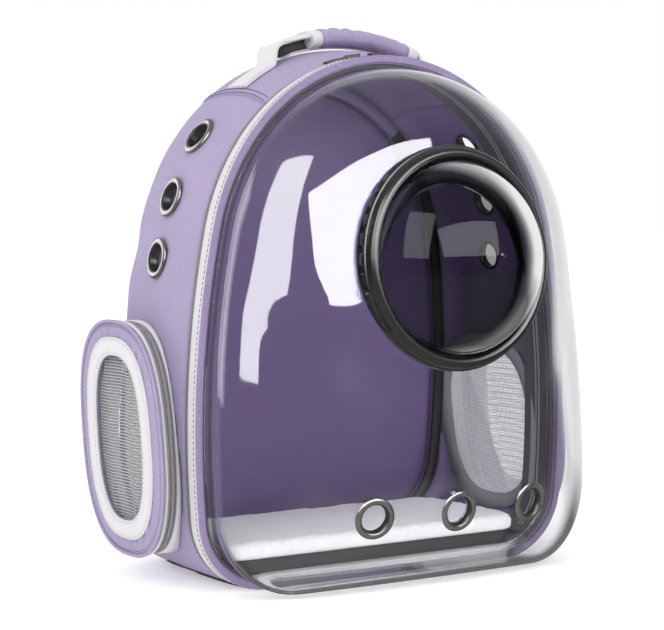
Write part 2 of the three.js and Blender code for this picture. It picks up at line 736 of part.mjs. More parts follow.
// Two flanges and a barrel that pinch the wall between them, each flange clear of the curved wall
function addEyelet(name, seat, wall, clearance) {
  const barrel = EYELET_BORE + EYELET_WALL;
  const front = clearance;
  const back = -wall - clearance - 1;
  const profile = [
    [EYELET_BORE, back - 1.2], [barrel + 2, back], [barrel, back + 1],
    [barrel, front], [EYELET_RADIUS, front], [EYELET_RADIUS - 1.5, front + EYELET_PROUD],
    [EYELET_BORE, front + EYELET_PROUD - 1],
  ];
  addPiece(name, turnedPiece(profile, 12, seat.at, seat.normal), "metal");
}

function addSideEyelets() {
  for (const side of SIDES) {
    SIDE_EYELETS.forEach((eyelet, i) => {
      addEyelet(`${side.name}_eyelet_${i + 1}`, eyeletSeat(eyelet, side.sign), WALL, SIDE_EYELET_CLEARANCE);
    });
  }
}

function addBubble() {
  const neck = RING_BORE + NECK_WALL;
  const seatGap = 2 * GAP;
  const ring = [
    [RING_BORE, -NECK_DEPTH], [neck, -NECK_DEPTH], [neck, seatGap], [RING_RADIUS, seatGap],
    [RING_RADIUS, RING_FLANGE - 2], [RING_RADIUS - 2, RING_FLANGE], [RING_BORE + 5, RING_FLANGE],
    [RING_BORE + 4, RING_LIP - 1], [RING_BORE + 2.5, RING_LIP], [RING_BORE, RING_LIP - 1],
  ];
  addPiece("bubble_ring", turnedPiece(ring, BUBBLE_STEPS, SEAT, SEAT_NORMAL), "plastic");
  const outer = RING_BORE - GAP;
  const sphere = (outer * outer + DOME_RISE * DOME_RISE) / (2 * DOME_RISE);
  const half = Math.asin(outer / sphere);
  const skin = (radius, foot) => {
    const points = [[foot, -NECK_DEPTH + 1]];
    const steps = 6;
    for (let i = steps; i >= 0; i -= 1) {
      const angle = (half * i) / steps;
      const height = RING_LIP - 1 + DOME_RISE - sphere + radius * Math.cos(angle);
      points.push([Math.min(foot, radius * Math.sin(angle)), height]);
    }
    return points;
  };
  const dome = [...skin(sphere, outer), ...skin(sphere - DOME_WALL, outer - DOME_WALL).reverse()];
  addPiece("bubble_dome", turnedPiece(dome, BUBBLE_STEPS, SEAT, SEAT_NORMAL), "clear");
}

// One ring of a pouch, between two reaches along X. The flare draws its length in towards the cabin.
function pouchRing(side, flare, grow, wall, reachFrom, reachTo) {
  const length = POUCH_LENGTH - 2 * flare * POUCH_FLARE + 2 * grow;
  const height = POUCH_HEIGHT + 2 * grow;
  const outer = pouchOval(length, height, POUCH_HEIGHT_CENTRE);
  const inner = pouchOval(length - 2 * wall, height - 2 * wall, POUCH_HEIGHT_CENTRE);
  const rows = outer.map((p, i) => {
    const q = inner[i];
    const at = (point, reach) => new THREE.Vector3(side * reach(point), point.x, point.y);
    return [at(p, reachFrom), at(p, reachTo), at(q, reachTo), at(q, reachFrom)];
  });
  return gridSolid(rows, true);
}

// A flat plate between two ovals, or a whole plate where the inner one is missing
function pouchPlate(side, outer, inner, from, to) {
  if (!inner) return ovalPlug(outer, side, from, to);
  const rows = outer.map((p, i) => {
    const q = inner[i];
    const at = (point, x) => new THREE.Vector3(side * x, point.x, point.y);
    return [at(p, from), at(p, to), at(q, to), at(q, from)];
  });
  return gridSolid(rows, true);
}

function addPouches() {
  const sideReachMost = RIM_WIDTH / 2 - BODY_INSET + 0.08 * BACK_ROUND;
  const base = sideReachMost + POUCH_BASE_PROUD;
  const zip = base + GAP + POUCH_ZIP_DEPTH;
  const rim = zip + GAP + POUCH_RIM_DEPTH;
  const face = rim + GAP + POUCH_FACE;
  const trim = face + GAP + TRIM_THICKNESS;
  const outline = pouchOval(POUCH_LENGTH + 3, POUCH_HEIGHT + 3, POUCH_HEIGHT_CENTRE);
  const trimOval = pouchOval(TRIM_LENGTH, TRIM_HEIGHT, POUCH_HEIGHT_CENTRE);
  const window = pouchOval(WINDOW_LENGTH, WINDOW_HEIGHT, POUCH_HEIGHT_CENTRE);
  const net = pouchOval(WINDOW_LENGTH + 10, WINDOW_HEIGHT + 10, POUCH_HEIGHT_CENTRE);
  const onWall = (point) => sideReach(point.x, point.y) + 4 * GAP;
  for (const { name, sign } of SIDES) {
    addPiece(`${name}_pouch_base`, pouchRing(sign, 1, 0, POUCH_WALL + 1, onWall, () => base), "webbing");
    const zipRing = pouchRing(sign, 0.75, -2 * GAP, POUCH_WALL, () => base + GAP, () => zip);
    addPiece(`${name}_pouch_zip`, zipRing, "zip");
    const rimRingSolid = pouchRing(sign, 0.25, GAP, POUCH_WALL + 1, () => zip + GAP, () => rim);
    addPiece(`${name}_pouch_rim`, rimRingSolid, "webbing");
    const opening = pouchOval(WINDOW_LENGTH + 2, WINDOW_HEIGHT + 2, POUCH_HEIGHT_CENTRE);
    addPiece(`${name}_pouch_face`, pouchPlate(sign, outline, opening, rim + GAP, face), "fabric");
    addPiece(`${name}_pouch_trim`, pouchPlate(sign, trimOval, window, face + GAP, trim), "webbing");
    const netBack = rim - NET_THICKNESS;
    addPiece(`${name}_pouch_net`, pouchPlate(sign, net, null, netBack, rim), "net");
  }
}

// A strap along a path, with its width along a chosen direction and soft or plain square edges
function strapAlong(path, widthAxis, width, thickness, plain = false) {
  const rows = path.map((p, i) => {
    const before = path[Math.max(i - 1, 0)];
    const after = path[Math.min(i + 1, path.length - 1)];
    const along = new THREE.Vector3().subVectors(after, before).normalize();
    const wide = widthAxis.clone().addScaledVector(along, -widthAxis.dot(along)).normalize();
    const up = new THREE.Vector3().crossVectors(wide, along).normalize();
    const [w, t] = [width(i) / 2, thickness(i) / 2];
    const soft = Math.min(t * 0.7, w * 0.3);
    const square = [[w, t], [w, -t], [-w, -t], [-w, t]];
    const rounded = [
      [w - soft, t], [w, t - soft], [w, soft - t], [w - soft, -t],
      [soft - w, -t], [-w, soft - t], [-w, t - soft], [soft - w, t],
    ];
    const corners = plain ? square : rounded;
    return corners.map(([a, b]) => p.clone().addScaledVector(wide, a).addScaledVector(up, b));
  });
  return gridSolid(rows, false);
}

// Height of the cabin top at a reach, at the depth of the handle
function topHeight(x, y) {
  const share = (y - BODY_FRONT) / (backDepth(RIM_HEIGHT) - BODY_FRONT);
  const loop = bodyLoop(share).slice(0, HALF_COUNT).reverse();
  const next = Math.max(1, loop.findIndex((p) => p.x >= Math.abs(x)));
  const [a, b] = [loop[next - 1], loop[next]];
  return a.y + ((b.y - a.y) * (Math.abs(x) - a.x)) / (b.x - a.x);
}

function addHandle() {
  const lay = WEBBING_THICKNESS / 2 + 2 * GAP;
  const low = RIM_HEIGHT + HANDLE_SHOULDER_HEIGHT;
  const top = RIM_HEIGHT + HANDLE_TOP_HEIGHT;
  const gripFrom = GRIP_SHIFT - GRIP_LENGTH / 2;
  const gripTo = GRIP_SHIFT + GRIP_LENGTH / 2;
  const arcHeight = (x) => low + (top - low) * (1 - (x / HANDLE_BEND_REACH) ** 2);
  const at = (x, z) => new THREE.Vector3(x, HANDLE_DEPTH, z);
  const foot = (sign) => {
    const points = [];
    for (const share of [0, 0.35, 0.7]) {
      const x = HANDLE_FOOT_REACH - share * (HANDLE_FOOT_REACH - HANDLE_BEND_REACH);
      points.push(at(sign * x, topHeight(x, HANDLE_DEPTH) + lay + share * 0.3 * HANDLE_BEND_ROUND));
    }
    points.push(at(sign * (HANDLE_BEND_REACH + 0.15 * HANDLE_BEND_ROUND), low - 0.9 * HANDLE_BEND_ROUND));
    points.push(at(sign * HANDLE_BEND_REACH, low - 0.3 * HANDLE_BEND_ROUND));
    points.push(at(sign * (HANDLE_BEND_REACH - 0.4 * HANDLE_BEND_ROUND), low + 0.1 * HANDLE_BEND_ROUND));
    return points;
  };
  const stretch = [];
  const steps = 12;
  for (let i = 0; i <= steps; i += 1) {
    const x = (HANDLE_BEND_REACH - HANDLE_BEND_ROUND) * ((2 * i) / steps - 1);
    stretch.push(at(x, arcHeight(x)));
  }
  const path = [...foot(-1), ...stretch, ...foot(1).reverse()];
  const across = new THREE.Vector3(0, 1, 0);
  const webbing = strapAlong(path, across, () => WEBBING_WIDTH, () => WEBBING_THICKNESS, true);
  addPiece("handle_webbing", webbing, "webbing");
  const tube = (from, to, width, height) => {
    const rows = [];
    const count = Math.max(2, Math.round((to - from) / 10));
    for (let i = 0; i <= count; i += 1) {
      const x = from + ((to - from) * i) / count;
      const ring = [];
      for (let k = 0; k < 8; k += 1) {
        const angle = (2 * Math.PI * (k + 0.5)) / 8;
        const y = HANDLE_DEPTH + (width / 2) * Math.cos(angle);
        ring.push(new THREE.Vector3(x, y, arcHeight(x) + (height / 2) * Math.sin(angle)));
      }
      rows.push(ring);
    }
    return gridSolid(rows, false);
  };
  const slotPath = path.slice(3, -3);
  const slotWidth = () => WEBBING_WIDTH + 2 * GAP;
  const slot = strapAlong(slotPath, across, slotWidth, () => WEBBING_THICKNESS + 3 * GAP, true);
  const grip = tube(gripFrom, gripTo - CUFF_LENGTH, GRIP_WIDTH, GRIP_HEIGHT);
  addPiece("handle_grip", cut(grip, [slot]), "fabric");
  const leftCuff = tube(gripFrom - GAP - CUFF_LENGTH, gripFrom - GAP, GRIP_WIDTH - 1, GRIP_HEIGHT - 1);
  addPiece("handle_cuff_left", cut(leftCuff, [slot]), "webbing");
  const cuffFrom = gripTo - CUFF_LENGTH + GAP;
  const rightCuff = tube(cuffFrom, cuffFrom + CUFF_LENGTH, GRIP_WIDTH - 1, GRIP_HEIGHT - 1);
  addPiece("handle_cuff_right", cut(rightCuff, [slot]), "webbing");
}

// Shoulder straps stand off the back in a shallow bow and run down to tails near the base
function addStraps() {
  const across = new THREE.Vector3(1, 0, 0);
  const reachAt = (z) => STRAP_REACH + STRAP_SPREAD * ((STRAP_TOP - z) / (STRAP_TOP - TAIL_END));
  const bow = (z) => Math.sin((Math.PI * (STRAP_TOP - z)) / (STRAP_TOP - TAIL_END));
  const gapAt = (z) => STRAP_STAND_OFF * bow(z) ** 0.8;
  const onBack = PANEL_PROUD + 3 * GAP;
  for (const { name, sign } of SIDES) {
    const spot = (z, thickness) => {
      const y = backDepth(z) + onBack + thickness / 2 + gapAt(z);
      return new THREE.Vector3(sign * reachAt(z), y, z);
    };
    const pad = [];
    const padSteps = 12;
    for (let i = 0; i <= padSteps; i += 1) {
      pad.push(spot(STRAP_TOP - ((STRAP_TOP - STRAP_END) * i) / padSteps, STRAP_THICKNESS));
    }
    const narrow = (i) => STRAP_WIDTH * (i > padSteps - 3 ? 1 - 0.14 * (i - padSteps + 3) : 1);
    addPiece(`${name}_strap_pad`, strapAlong(pad, across, narrow, () => STRAP_THICKNESS), "fabric");
    const buckleTop = STRAP_END - GAP;
    const buckleEnd = buckleTop - BUCKLE_LENGTH;
    const buckle = [0, 1].map((t) => spot(buckleTop - BUCKLE_LENGTH * t, STRAP_THICKNESS));
    const buckleSolid = strapAlong(buckle, across, () => BUCKLE_WIDTH, () => BUCKLE_THICKNESS);
    addPiece(`${name}_strap_buckle`, buckleSolid, "black");
    const tail = [];
    const tailSteps = 6;
    const tailFrom = buckleEnd - GAP;
    for (let i = 0; i <= tailSteps; i += 1) {
      tail.push(spot(tailFrom - ((tailFrom - TAIL_END) * i) / tailSteps, WEBBING_THICKNESS));
    }
    const webbing = strapAlong(tail, across, () => WEBBING_WIDTH, () => WEBBING_THICKNESS, true);
    addPiece(`${name}_strap_tail`, webbing, "webbing");
  }
}

addDoorRim();
addZipSliders();
addCabin();
addFloor();
addDoor();
addBubble();
addSideEyelets();
addPouches();
addHandle();
addStraps();

export default pack;
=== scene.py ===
"""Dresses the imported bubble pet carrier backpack.

Lengths are millimetres with the door rim at y = 0, until place() puts them in the row frame.
"""
import math

import bmesh
import bpy
from mathutils import Matrix, Vector, noise


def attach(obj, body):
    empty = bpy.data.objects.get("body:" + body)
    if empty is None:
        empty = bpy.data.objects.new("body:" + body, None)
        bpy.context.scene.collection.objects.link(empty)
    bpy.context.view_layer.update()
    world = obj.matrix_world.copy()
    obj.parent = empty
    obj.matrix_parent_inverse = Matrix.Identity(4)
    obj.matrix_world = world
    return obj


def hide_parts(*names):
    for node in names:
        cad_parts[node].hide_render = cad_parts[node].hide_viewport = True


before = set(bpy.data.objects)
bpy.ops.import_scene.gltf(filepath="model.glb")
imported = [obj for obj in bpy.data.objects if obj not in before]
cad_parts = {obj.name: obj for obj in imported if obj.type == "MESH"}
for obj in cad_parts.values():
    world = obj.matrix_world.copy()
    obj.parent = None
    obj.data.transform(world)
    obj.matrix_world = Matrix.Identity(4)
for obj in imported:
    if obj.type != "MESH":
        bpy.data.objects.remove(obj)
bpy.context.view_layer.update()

RIM_HALF = 160
RIM_HEIGHT = 371
BODY_FRONT = 16.9
BASE_DEPTH = 146
BACK_LEAN = 24
BASE_CENTRE = BODY_FRONT + 0.42 * (BASE_DEPTH - BODY_FRONT)
WALL = 3

SIDES = {"left": -1, "right": 1}


def place(point):
    """A point in millimetres by the door rim, as metres in the row frame."""
    return Vector((point[0], point[1] - BASE_CENTRE, point[2])) * 0.001


def smooth_step(low, high, value):
    t = min(max((value - low) / (high - low), 0), 1)
    return t * t * (3 - 2 * t)


def blend_table(table, t):
    """Values at t from rows that start with their own t, joined by a smooth curve."""
    last = len(table) - 1
    i = next((n for n in range(last) if table[n + 1][0] >= t), last - 1)
    a, b = table[i], table[i + 1]
    before, after = table[max(i - 1, 0)], table[min(i + 2, last)]
    span = b[0] - a[0]
    u = (t - a[0]) / span
    values = []
    for k in range(1, len(a)):
        slope_a = (b[k] - before[k]) / (b[0] - before[0]) * span
        slope_b = (after[k] - a[k]) / (after[0] - a[0]) * span
        values.append(
            (2 * u**3 - 3 * u**2 + 1) * a[k] + (u**3 - 2 * u**2 + u) * slope_a
            + (3 * u**2 - 2 * u**3) * b[k] + (u**3 - u**2) * slope_b
        )
    return values


def spaced(points, count, closed=False):
    """The same path with evenly spaced points."""
    points = [Vector(p) for p in points] + ([Vector(points[0])] if closed else [])
    run = [0]
    for a, b in zip(points, points[1:]):
        run.append(run[-1] + (b - a).length)
    made = []
    i = 0
    for n in range(count):
        at = run[-1] * n / (count if closed else count - 1)
        while i < len(run) - 2 and run[i + 1] < at:
            i += 1
        made.append(points[i].lerp(points[i + 1], (at - run[i]) / (run[i + 1] - run[i])))
    return made


# Door outline: radii are shares of half the rim width, turns are degrees
OUTLINE_ARCS = [(0.334, 85.2), (4.44, 16.2), (1.01, 26.9)]
LOOP_COUNT = 288


def unit_outline():
    """The closed outline, 1 wide each way and 1 high, from the middle of the base."""
    x, z, heading = 0.65, 0.0, 0.0
    half = [(0, 0), (x, z)]

    def run(radius, turn):
        nonlocal x, z, heading
        cx, cz = x - radius * math.sin(heading), z + radius * math.cos(heading)
        steps = max(8, int(math.degrees(turn)))
        for i in range(1, steps + 1):
            angle = heading + turn * i / steps
            half.append((cx + radius * math.sin(angle), cz - radius * math.cos(angle)))
        x, z = half[-1]
        heading += turn

    for radius, turn in OUTLINE_ARCS:
        run(radius, math.radians(turn))
    run(x / math.sin(math.pi - heading), math.pi - heading)
    widest, tallest = max(p[0] for p in half), half[-1][1]
    right = [(p[0] / widest * RIM_HALF, 0, p[1] / tallest * RIM_HEIGHT) for p in half]
    loop = right + [(-p[0], 0, p[2]) for p in right[-2:0:-1]]
    return [(p.x / RIM_HALF, p.z / RIM_HEIGHT) for p in spaced(loop, LOOP_COUNT, True)]


UNIT = unit_outline()


def loop_at(half_width, low, high):
    return [Vector((x * half_width, 0, low + z * (high - low))) for x, z in UNIT]


def loop_normals(loop):
    """Outward directions in the plane of a closed loop of constant depth."""
    count = len(loop)
    made = []
    for i in range(count):
        along = loop[(i + 1) % count] - loop[i - 1]
        made.append(Vector((along.z, 0, -along.x)).normalized())
    return made


RIM = loop_at(RIM_HALF, 0, RIM_HEIGHT)
RIM_OUT = loop_normals(RIM)
SEAM = min(range(LOOP_COUNT // 2), key=lambda i: abs(RIM[i].x - 95.5) + (1000 if RIM[i].z < 300 else 0))
CORNER = min(range(LOOP_COUNT // 4), key=lambda i: abs(RIM[i].x - 120))


def rim_at(index, inset, depth):
    point = RIM[index % LOOP_COUNT] - RIM_OUT[index % LOOP_COUNT] * inset
    return Vector((point.x, depth, point.z))


# Cabin sections from the zip to the back edge: share of depth, inset, rise, lift
CABIN = [
    (0.0, 0.0, -0.3, 0.0), (0.18, -0.08, 0.6, 0.0), (0.42, -0.08, 1.0, 0.0), (0.68, 0.02, 0.9, 0.0),
    (0.84, 0.12, 0.6, 0.0), (0.94, 0.38, -0.2, 0.16), (1.0, 0.9, -2.1, 0.62),
]


def back_depth(z):
    return BASE_DEPTH - BACK_LEAN * z / RIM_HEIGHT


def cabin_loop(share):
    inset, rise, lift = blend_table(CABIN, share)
    loop = loop_at(RIM_HALF - 3 - inset * 24, lift * 24, RIM_HEIGHT + rise * 8)
    return [Vector((p.x, BODY_FRONT + share * (back_depth(p.z) - BODY_FRONT), p.z)) for p in loop]


CABIN_SHARES = [0, 0.03] + [0.07 + 0.87 * i / 24 for i in range(25)] + [0.965, 0.985, 1.0]
CABIN_LOOPS = [cabin_loop(share) for share in CABIN_SHARES]


def side_reach(y, z):
    """Half width of the cabin at a depth and height."""
    share = min(max((y - BODY_FRONT) / (back_depth(z) - BODY_FRONT), 0), 1)
    loop = cabin_loop(share)[: LOOP_COUNT // 2 + 1]
    i = next((n for n in range(1, len(loop)) if loop[n].z >= z), len(loop) - 1)
    a, b = loop[i - 1], loop[i]
    return a.x + (b.x - a.x) * (z - a.z) / ((b.z - a.z) or 1)


def top_height(x, y):
    share = min(max((y - BODY_FRONT) / (back_depth(RIM_HEIGHT) - BODY_FRONT), 0), 1)
    loop = cabin_loop(share)[: LOOP_COUNT // 2 + 1][::-1]
    i = next(n for n in range(1, len(loop)) if loop[n].x >= abs(x))
    a, b = loop[i - 1], loop[i]
    return a.z + (b.z - a.z) * (abs(x) - a.x) / (b.x - a.x)


class Field:
    """A value or colour over a surface. Python's operators add the Math nodes."""

    def __init__(self, finish, socket):
        self.finish = finish
        self.socket = socket

    def out(self, key):
        return Field(self.finish, self.socket.node.outputs[key])

    def join(self, operation, first, second):
        return self.finish.add("ShaderNodeMath", {"operation": operation}, {0: first, 1: second})

    def __add__(self, other):
        return self.join("ADD", self, other)

    __radd__ = __add__

    def __sub__(self, other):
        return self.join("SUBTRACT", self, other)

    def __rsub__(self, other):
        return self.join("SUBTRACT", other, self)

    def __mul__(self, other):
        return self.join("MULTIPLY", self, other)

    __rmul__ = __mul__

    def __truediv__(self, other):
        return self.join("DIVIDE", self, other)

    def __pow__(self, other):
        return self.join("POWER", self, other)

    def __abs__(self):
        return self.join("ABSOLUTE", self, 0)

    def sine(self):
        return self.join("SINE", self, 0)

    def least(self, other):
        return self.join("MINIMUM", self, other)

    def most(self, other):
        return self.join("MAXIMUM", self, other)

    def over(self, edge, soft):
        """1 above an edge and 0 below it, with a soft step."""
        return ((self - edge) / soft + 0.5).most(0).least(1)


class Finish:
    """One material, and the one method that adds any node to it."""

    def __init__(self, name, owner=None):
        self.material = owner or bpy.data.materials.new(name)
        self.material.use_nodes = True
        self.tree = self.material.node_tree
        self.tree.nodes.clear()

    def add(self, kind, settings=None, sockets=None):
        node = self.tree.nodes.new(kind)
        for key, value in (settings or {}).items():
            setattr(node, key, value)
        for key, value in (sockets or {}).items():
            if isinstance(value, Field):
                self.tree.links.new(value.socket, node.inputs[key])
            else:
                node.inputs[key].default_value = value
        return Field(self, node.outputs[0]) if node.outputs else None

    def where(self, scale=1.0):
        """Place on the piece in metres, times a scale for each axis."""
        at = self.add("ShaderNodeTexCoord").out("Object")
        scale = scale if isinstance(scale, tuple) else (scale, scale, scale)
        return self.add("ShaderNodeVectorMath", {"operation": "MULTIPLY"}, {0: at, 1: scale})

    def cloth_run(self):
        """Millimetres along and across the cloth, as two values."""
        at = self.add("ShaderNodeUVMap", {"uv_map": "weave"})
        parts = self.add("ShaderNodeSeparateXYZ", None, {0: at})
        return parts.out("X") * 1000, parts.out("Y") * 1000

    def grain(self, size, detail=3, rough=0.55, at=None):
        """Noise whose grains are about this many millimetres across."""
        sockets = {"Vector": at or self.where(), "Scale": 1000 / size, "Detail": detail, "Roughness": rough}
        return self.add("ShaderNodeTexNoise", None, sockets)

    def shade(self, colour, factor):
        """A colour made lighter or darker by a factor that varies."""
        return self.add("ShaderNodeVectorMath", {"operation": "SCALE"}, {0: colour[:3], "Scale": factor})

    def bump(self, height, distance, strength=1.0, normal=None):
        sockets = {"Height": height, "Distance": distance * 0.001, "Strength": strength}
        if normal:
            sockets["Normal"] = normal
        return self.add("ShaderNodeBump", None, sockets)

    def surface(self, sockets):
        shader = self.add("ShaderNodeBsdfPrincipled", None, sockets)
        self.add("ShaderNodeOutputMaterial", None, {"Surface": shader})
        return self.material


def rgb(red, green, blue):
    """A colour from 0 to 255 as seen, turned into light values."""
    return tuple(((v / 255 + 0.055) / 1.055) ** 2.4 for v in (red, green, blue)) + (1.0,)


def plain_weave(finish, thread):
    """Height of a plain weave, 0 to 1, and the value that picks the upper thread."""
    along, across = finish.cloth_run()
    waves = [(run * (math.pi / thread)).sine() for run in (along, across)]
    upper = (waves[0] * waves[1]).over(0, 0.25)
    return abs(waves[0]) * upper + abs(waves[1]) * (1 - upper)


def woven(name, colour, thread=0.75, relief=0.12, rough=0.82, sheen=0.35, mottle=0.16):
    f = Finish(name)
    height = plain_weave(f, thread)
    slub = f.grain(1.3, 2, 0.7)
    broad = f.grain(42, 3)
    tone = 0.93 + height * 0.08 + (slub - 0.5) * mottle * 3 + (broad - 0.5) * mottle * 0.7
    fuzz = f.bump(f.grain(0.9, 3, 0.7), 0.15, 0.45)
    return f.surface({
        "Base Color": f.shade(colour, tone),
        "Roughness": rough + (slub - 0.5) * 0.12,
        "Normal": f.bump(height, relief, 0.8, fuzz),
        "Sheen Weight": sheen,
        "Sheen Roughness": 0.45,
        "Sheen Tint": colour,
        "Specular IOR Level": 0.3,
    })


def webbing_finish(name, colour, rib=1.6):
    """Ribbed tape: ribs run along it, small crossing threads give it a grain."""
    f = Finish(name)
    along, across = f.cloth_run()
    ribs = abs((across * (math.pi / rib)).sine()) ** 0.6
    picks = abs((along * (math.pi / 0.7) + (across * (math.pi / rib)).sine() * 1.2).sine())
    tone = 0.9 + ribs * 0.08 + picks * 0.04 + (f.grain(9, 2) - 0.5) * 0.08
    return f.surface({
        "Base Color": f.shade(colour, tone),
        "Roughness": 0.78,
        "Normal": f.bump(ribs * 0.7 + picks * 0.3, 0.18, 0.8),
        "Sheen Weight": 0.2,
        "Specular IOR Level": 0.3,
    })


def moulded(name, colour, rough=0.35, grain=0.6, depth=0.02, coat=0.0, level=0.5):
    f = Finish(name)
    fine = f.grain(grain, 2)
    broad = f.grain(24, 3)
    return f.surface({
        "Base Color": f.shade(colour, 0.92 + broad * 0.16),
        "Roughness": rough + (broad - 0.5) * 0.16,
        "Normal": f.bump(fine, depth, 0.6),
        "Coat Weight": coat,
        "Coat Roughness": 0.08,
        "Specular IOR Level": level,
    })


def metal_finish():
    f = Finish("eyelet gunmetal")
    rubbed = f.grain(1.1, 4, 0.7, f.where((1.0, 1.0, 3.0)))
    stain = f.grain(6, 3)
    return f.surface({
        "Base Color": f.shade(rgb(132, 131, 126), 0.66 + rubbed * 0.3 + (stain - 0.5) * 0.4),
        "Roughness": 0.17 + rubbed * 0.14,
        "Metallic": 0.72,
        "Normal": f.bump(rubbed, 0.02, 0.3),
    })


def clear_finish(name, strength, haze, limb, edge, tone, rest=1.0):
    """Clear sheet: what it mirrors grows towards its edges, and the rest shows through.

    Limb is added where the sheet turns away past edge. Rest is the share of tone left face on.
    """
    f = Finish(name)
    scuffs = f.grain(1.4, 5, 0.75, f.where((1.0, 1.0, 0.25)))
    ripple = f.bump(f.grain(90, 1), 0.5, 0.2)
    facing = f.add("ShaderNodeLayerWeight", None, {"Blend": 0.5, "Normal": ripple}).out("Facing")
    band = facing.over(edge, 0.16)
    alpha = (facing ** 5 * 0.9 + band * limb + strength + haze * scuffs).least(1)
    return f.surface({
        "Base Color": f.shade((1.0, 1.0, 1.02), (band * (1 - rest) + rest) * tone),
        "Metallic": 1.0,
        "Roughness": 0.02 + scuffs * 0.03,
        "Alpha": alpha,
        "Normal": ripple,
    })


def mesh_cloth(name, colour, pitch):
    """Open net cloth: the holes between its threads let what is behind show."""
    f = Finish(name)
    waves = [abs((run * (math.pi / pitch)).sine()) for run in f.cloth_run()]
    hole = waves[0].over(0.62, 0.2) * waves[1].over(0.62, 0.2)
    glint = f.grain(2.2, 2, 0.7)
    return f.surface({
        "Base Color": f.shade(colour, 0.86 + glint * 0.28),
        "Roughness": 0.6,
        "Alpha": 1 - hole * 0.95,
        # Painted light: the white emission makes the net glow as if lit from behind.
        "Emission Color": (1, 1, 1, 1),
        "Emission Strength": 0.12,
        "Normal": f.bump(waves[0] * waves[1], 0.2, 0.6),
        "Sheen Weight": 0.3,
    })


def plush_finish():
    f = Finish("plush pile")
    tufts = f.grain(5, 4, 0.65)
    fibres = f.grain(1.1, 3, 0.75)
    tone = 0.80 + tufts * 0.22 + fibres * 0.14
    return f.surface({
        "Base Color": f.shade(rgb(248, 246, 250), tone + 0.06),
        "Roughness": 0.95,
        "Normal": f.bump(fibres, 0.5, 0.8, f.bump(tufts, 1.4, 0.8)),
        # Painted light: the white emission brightens the plush as if more light reached it inside the cabin.
        "Emission Color": (1, 1, 1, 1),
        "Emission Strength": 0.07,
        "Sheen Weight": 0.6,
        "Sheen Roughness": 0.6,
        "Specular IOR Level": 0.1,
    })


FINISHES = {
    "lavender": woven("lavender oxford", rgb(164, 152, 184)),
    "binding": woven("rim binding cloth", rgb(146, 132, 168), 1.1, 0.16, 0.85, 0.3, 0.26),
    "lining": woven("deep purple lining", rgb(120, 103, 151), 0.5, 0.05, 0.62, 0.15, 0.06),
    "panel": woven("back panel purple", rgb(120, 102, 152), 0.5, 0.05, 0.6, 0.1, 0.05),
    "thread": woven("seam thread", rgb(96, 82, 122), 0.3, 0.05, 0.7, 0.1, 0.05),
    "pale thread": woven("pale thread", rgb(196, 195, 197), 0.3, 0.05, 0.7, 0.1, 0.05),
    "webbing": webbing_finish("light grey webbing", rgb(214, 213, 215)),
    "piping": webbing_finish("light grey piping", rgb(206, 205, 207), 1.2),
    # Zip tape grey, also used as painted shade along the base of the rim binding.
    "zip tape": woven("zip tape grey", rgb(126, 125, 126), 0.5, 0.06, 0.7, 0.1, 0.08),
    "zip coil": moulded("zip coil grey", rgb(150, 149, 149), 0.4, 0.5, 0.01),
    "black cloth": woven("black coated cloth", rgb(26, 25, 28), 0.6, 0.08, 0.55, 0.15, 0.1),
    "facing cloth": woven("grey facing cloth", rgb(82, 80, 86), 0.6, 0.06, 0.7, 0.1, 0.12),
    # Grey board cloth, also used as painted shade inside the fold of the handle webbing.
    "board": woven("grey board cloth and webbing fold shade", rgb(64, 63, 65), 0.6, 0.06, 0.75, 0.1, 0.06),
    "plush": plush_finish(),
    "ring": moulded("black ring plastic", rgb(20, 20, 21), 0.28, 0.5, 0.012, 0.15),
    "buckle": moulded("black buckle plastic", rgb(34, 34, 36), 0.42, 0.5, 0.02),
    "metal": metal_finish(),
    # Painted shade: near-black metal for the shaded throats of the eyelets.
    "eyelet throat shade": moulded("blackened metal", rgb(44, 43, 44), 0.3, 0.5, 0.01),
    "net": moulded("light grey net yarn", rgb(182, 182, 185), 0.6, 0.4, 0.03, 0, 0.3),
    "inner net": moulded("dark net yarn", rgb(120, 118, 124), 0.6, 0.4, 0.03, 0, 0.3),
    "window mesh": mesh_cloth("fine window mesh", rgb(236, 236, 238), 1.5),
    "net border": woven("net border tape", rgb(138, 137, 141), 0.6, 0.06, 0.75, 0.1, 0.06),
    "pouch tape": woven("pouch zip tape", rgb(180, 179, 181), 0.5, 0.06, 0.7, 0.1, 0.08),
    "clear": clear_finish("clear door sheet", strength=0.04, haze=0.02, limb=0.62, edge=0.64, tone=0.86),
    "dome": clear_finish(
        "clear dome", strength=0.5, haze=0.02, limb=0.5, edge=0.53, tone=0.95, rest=0.015,
    ),
}


def grid_normals(rows, wrap=False, ring=False):
    """Unit normals at each point of a grid of points."""
    tall, wide = len(rows), len(rows[0])
    made = []
    for i in range(tall):
        up = rows[(i + 1) % tall] if wrap or i < tall - 1 else rows[i]
        down = rows[i - 1] if wrap or i else rows[i]
        line = []
        for j in range(wide):
            right = j + 1 if j < wide - 1 else (0 if ring else j)
            left = j - 1 if j or ring else 0
            normal = (up[j] - down[j]).cross(rows[i][right] - rows[i][left])
            line.append(normal.normalized() if normal.length > 1e-9 else Vector((0, 0, 1)))
        made.append(line)
    return made


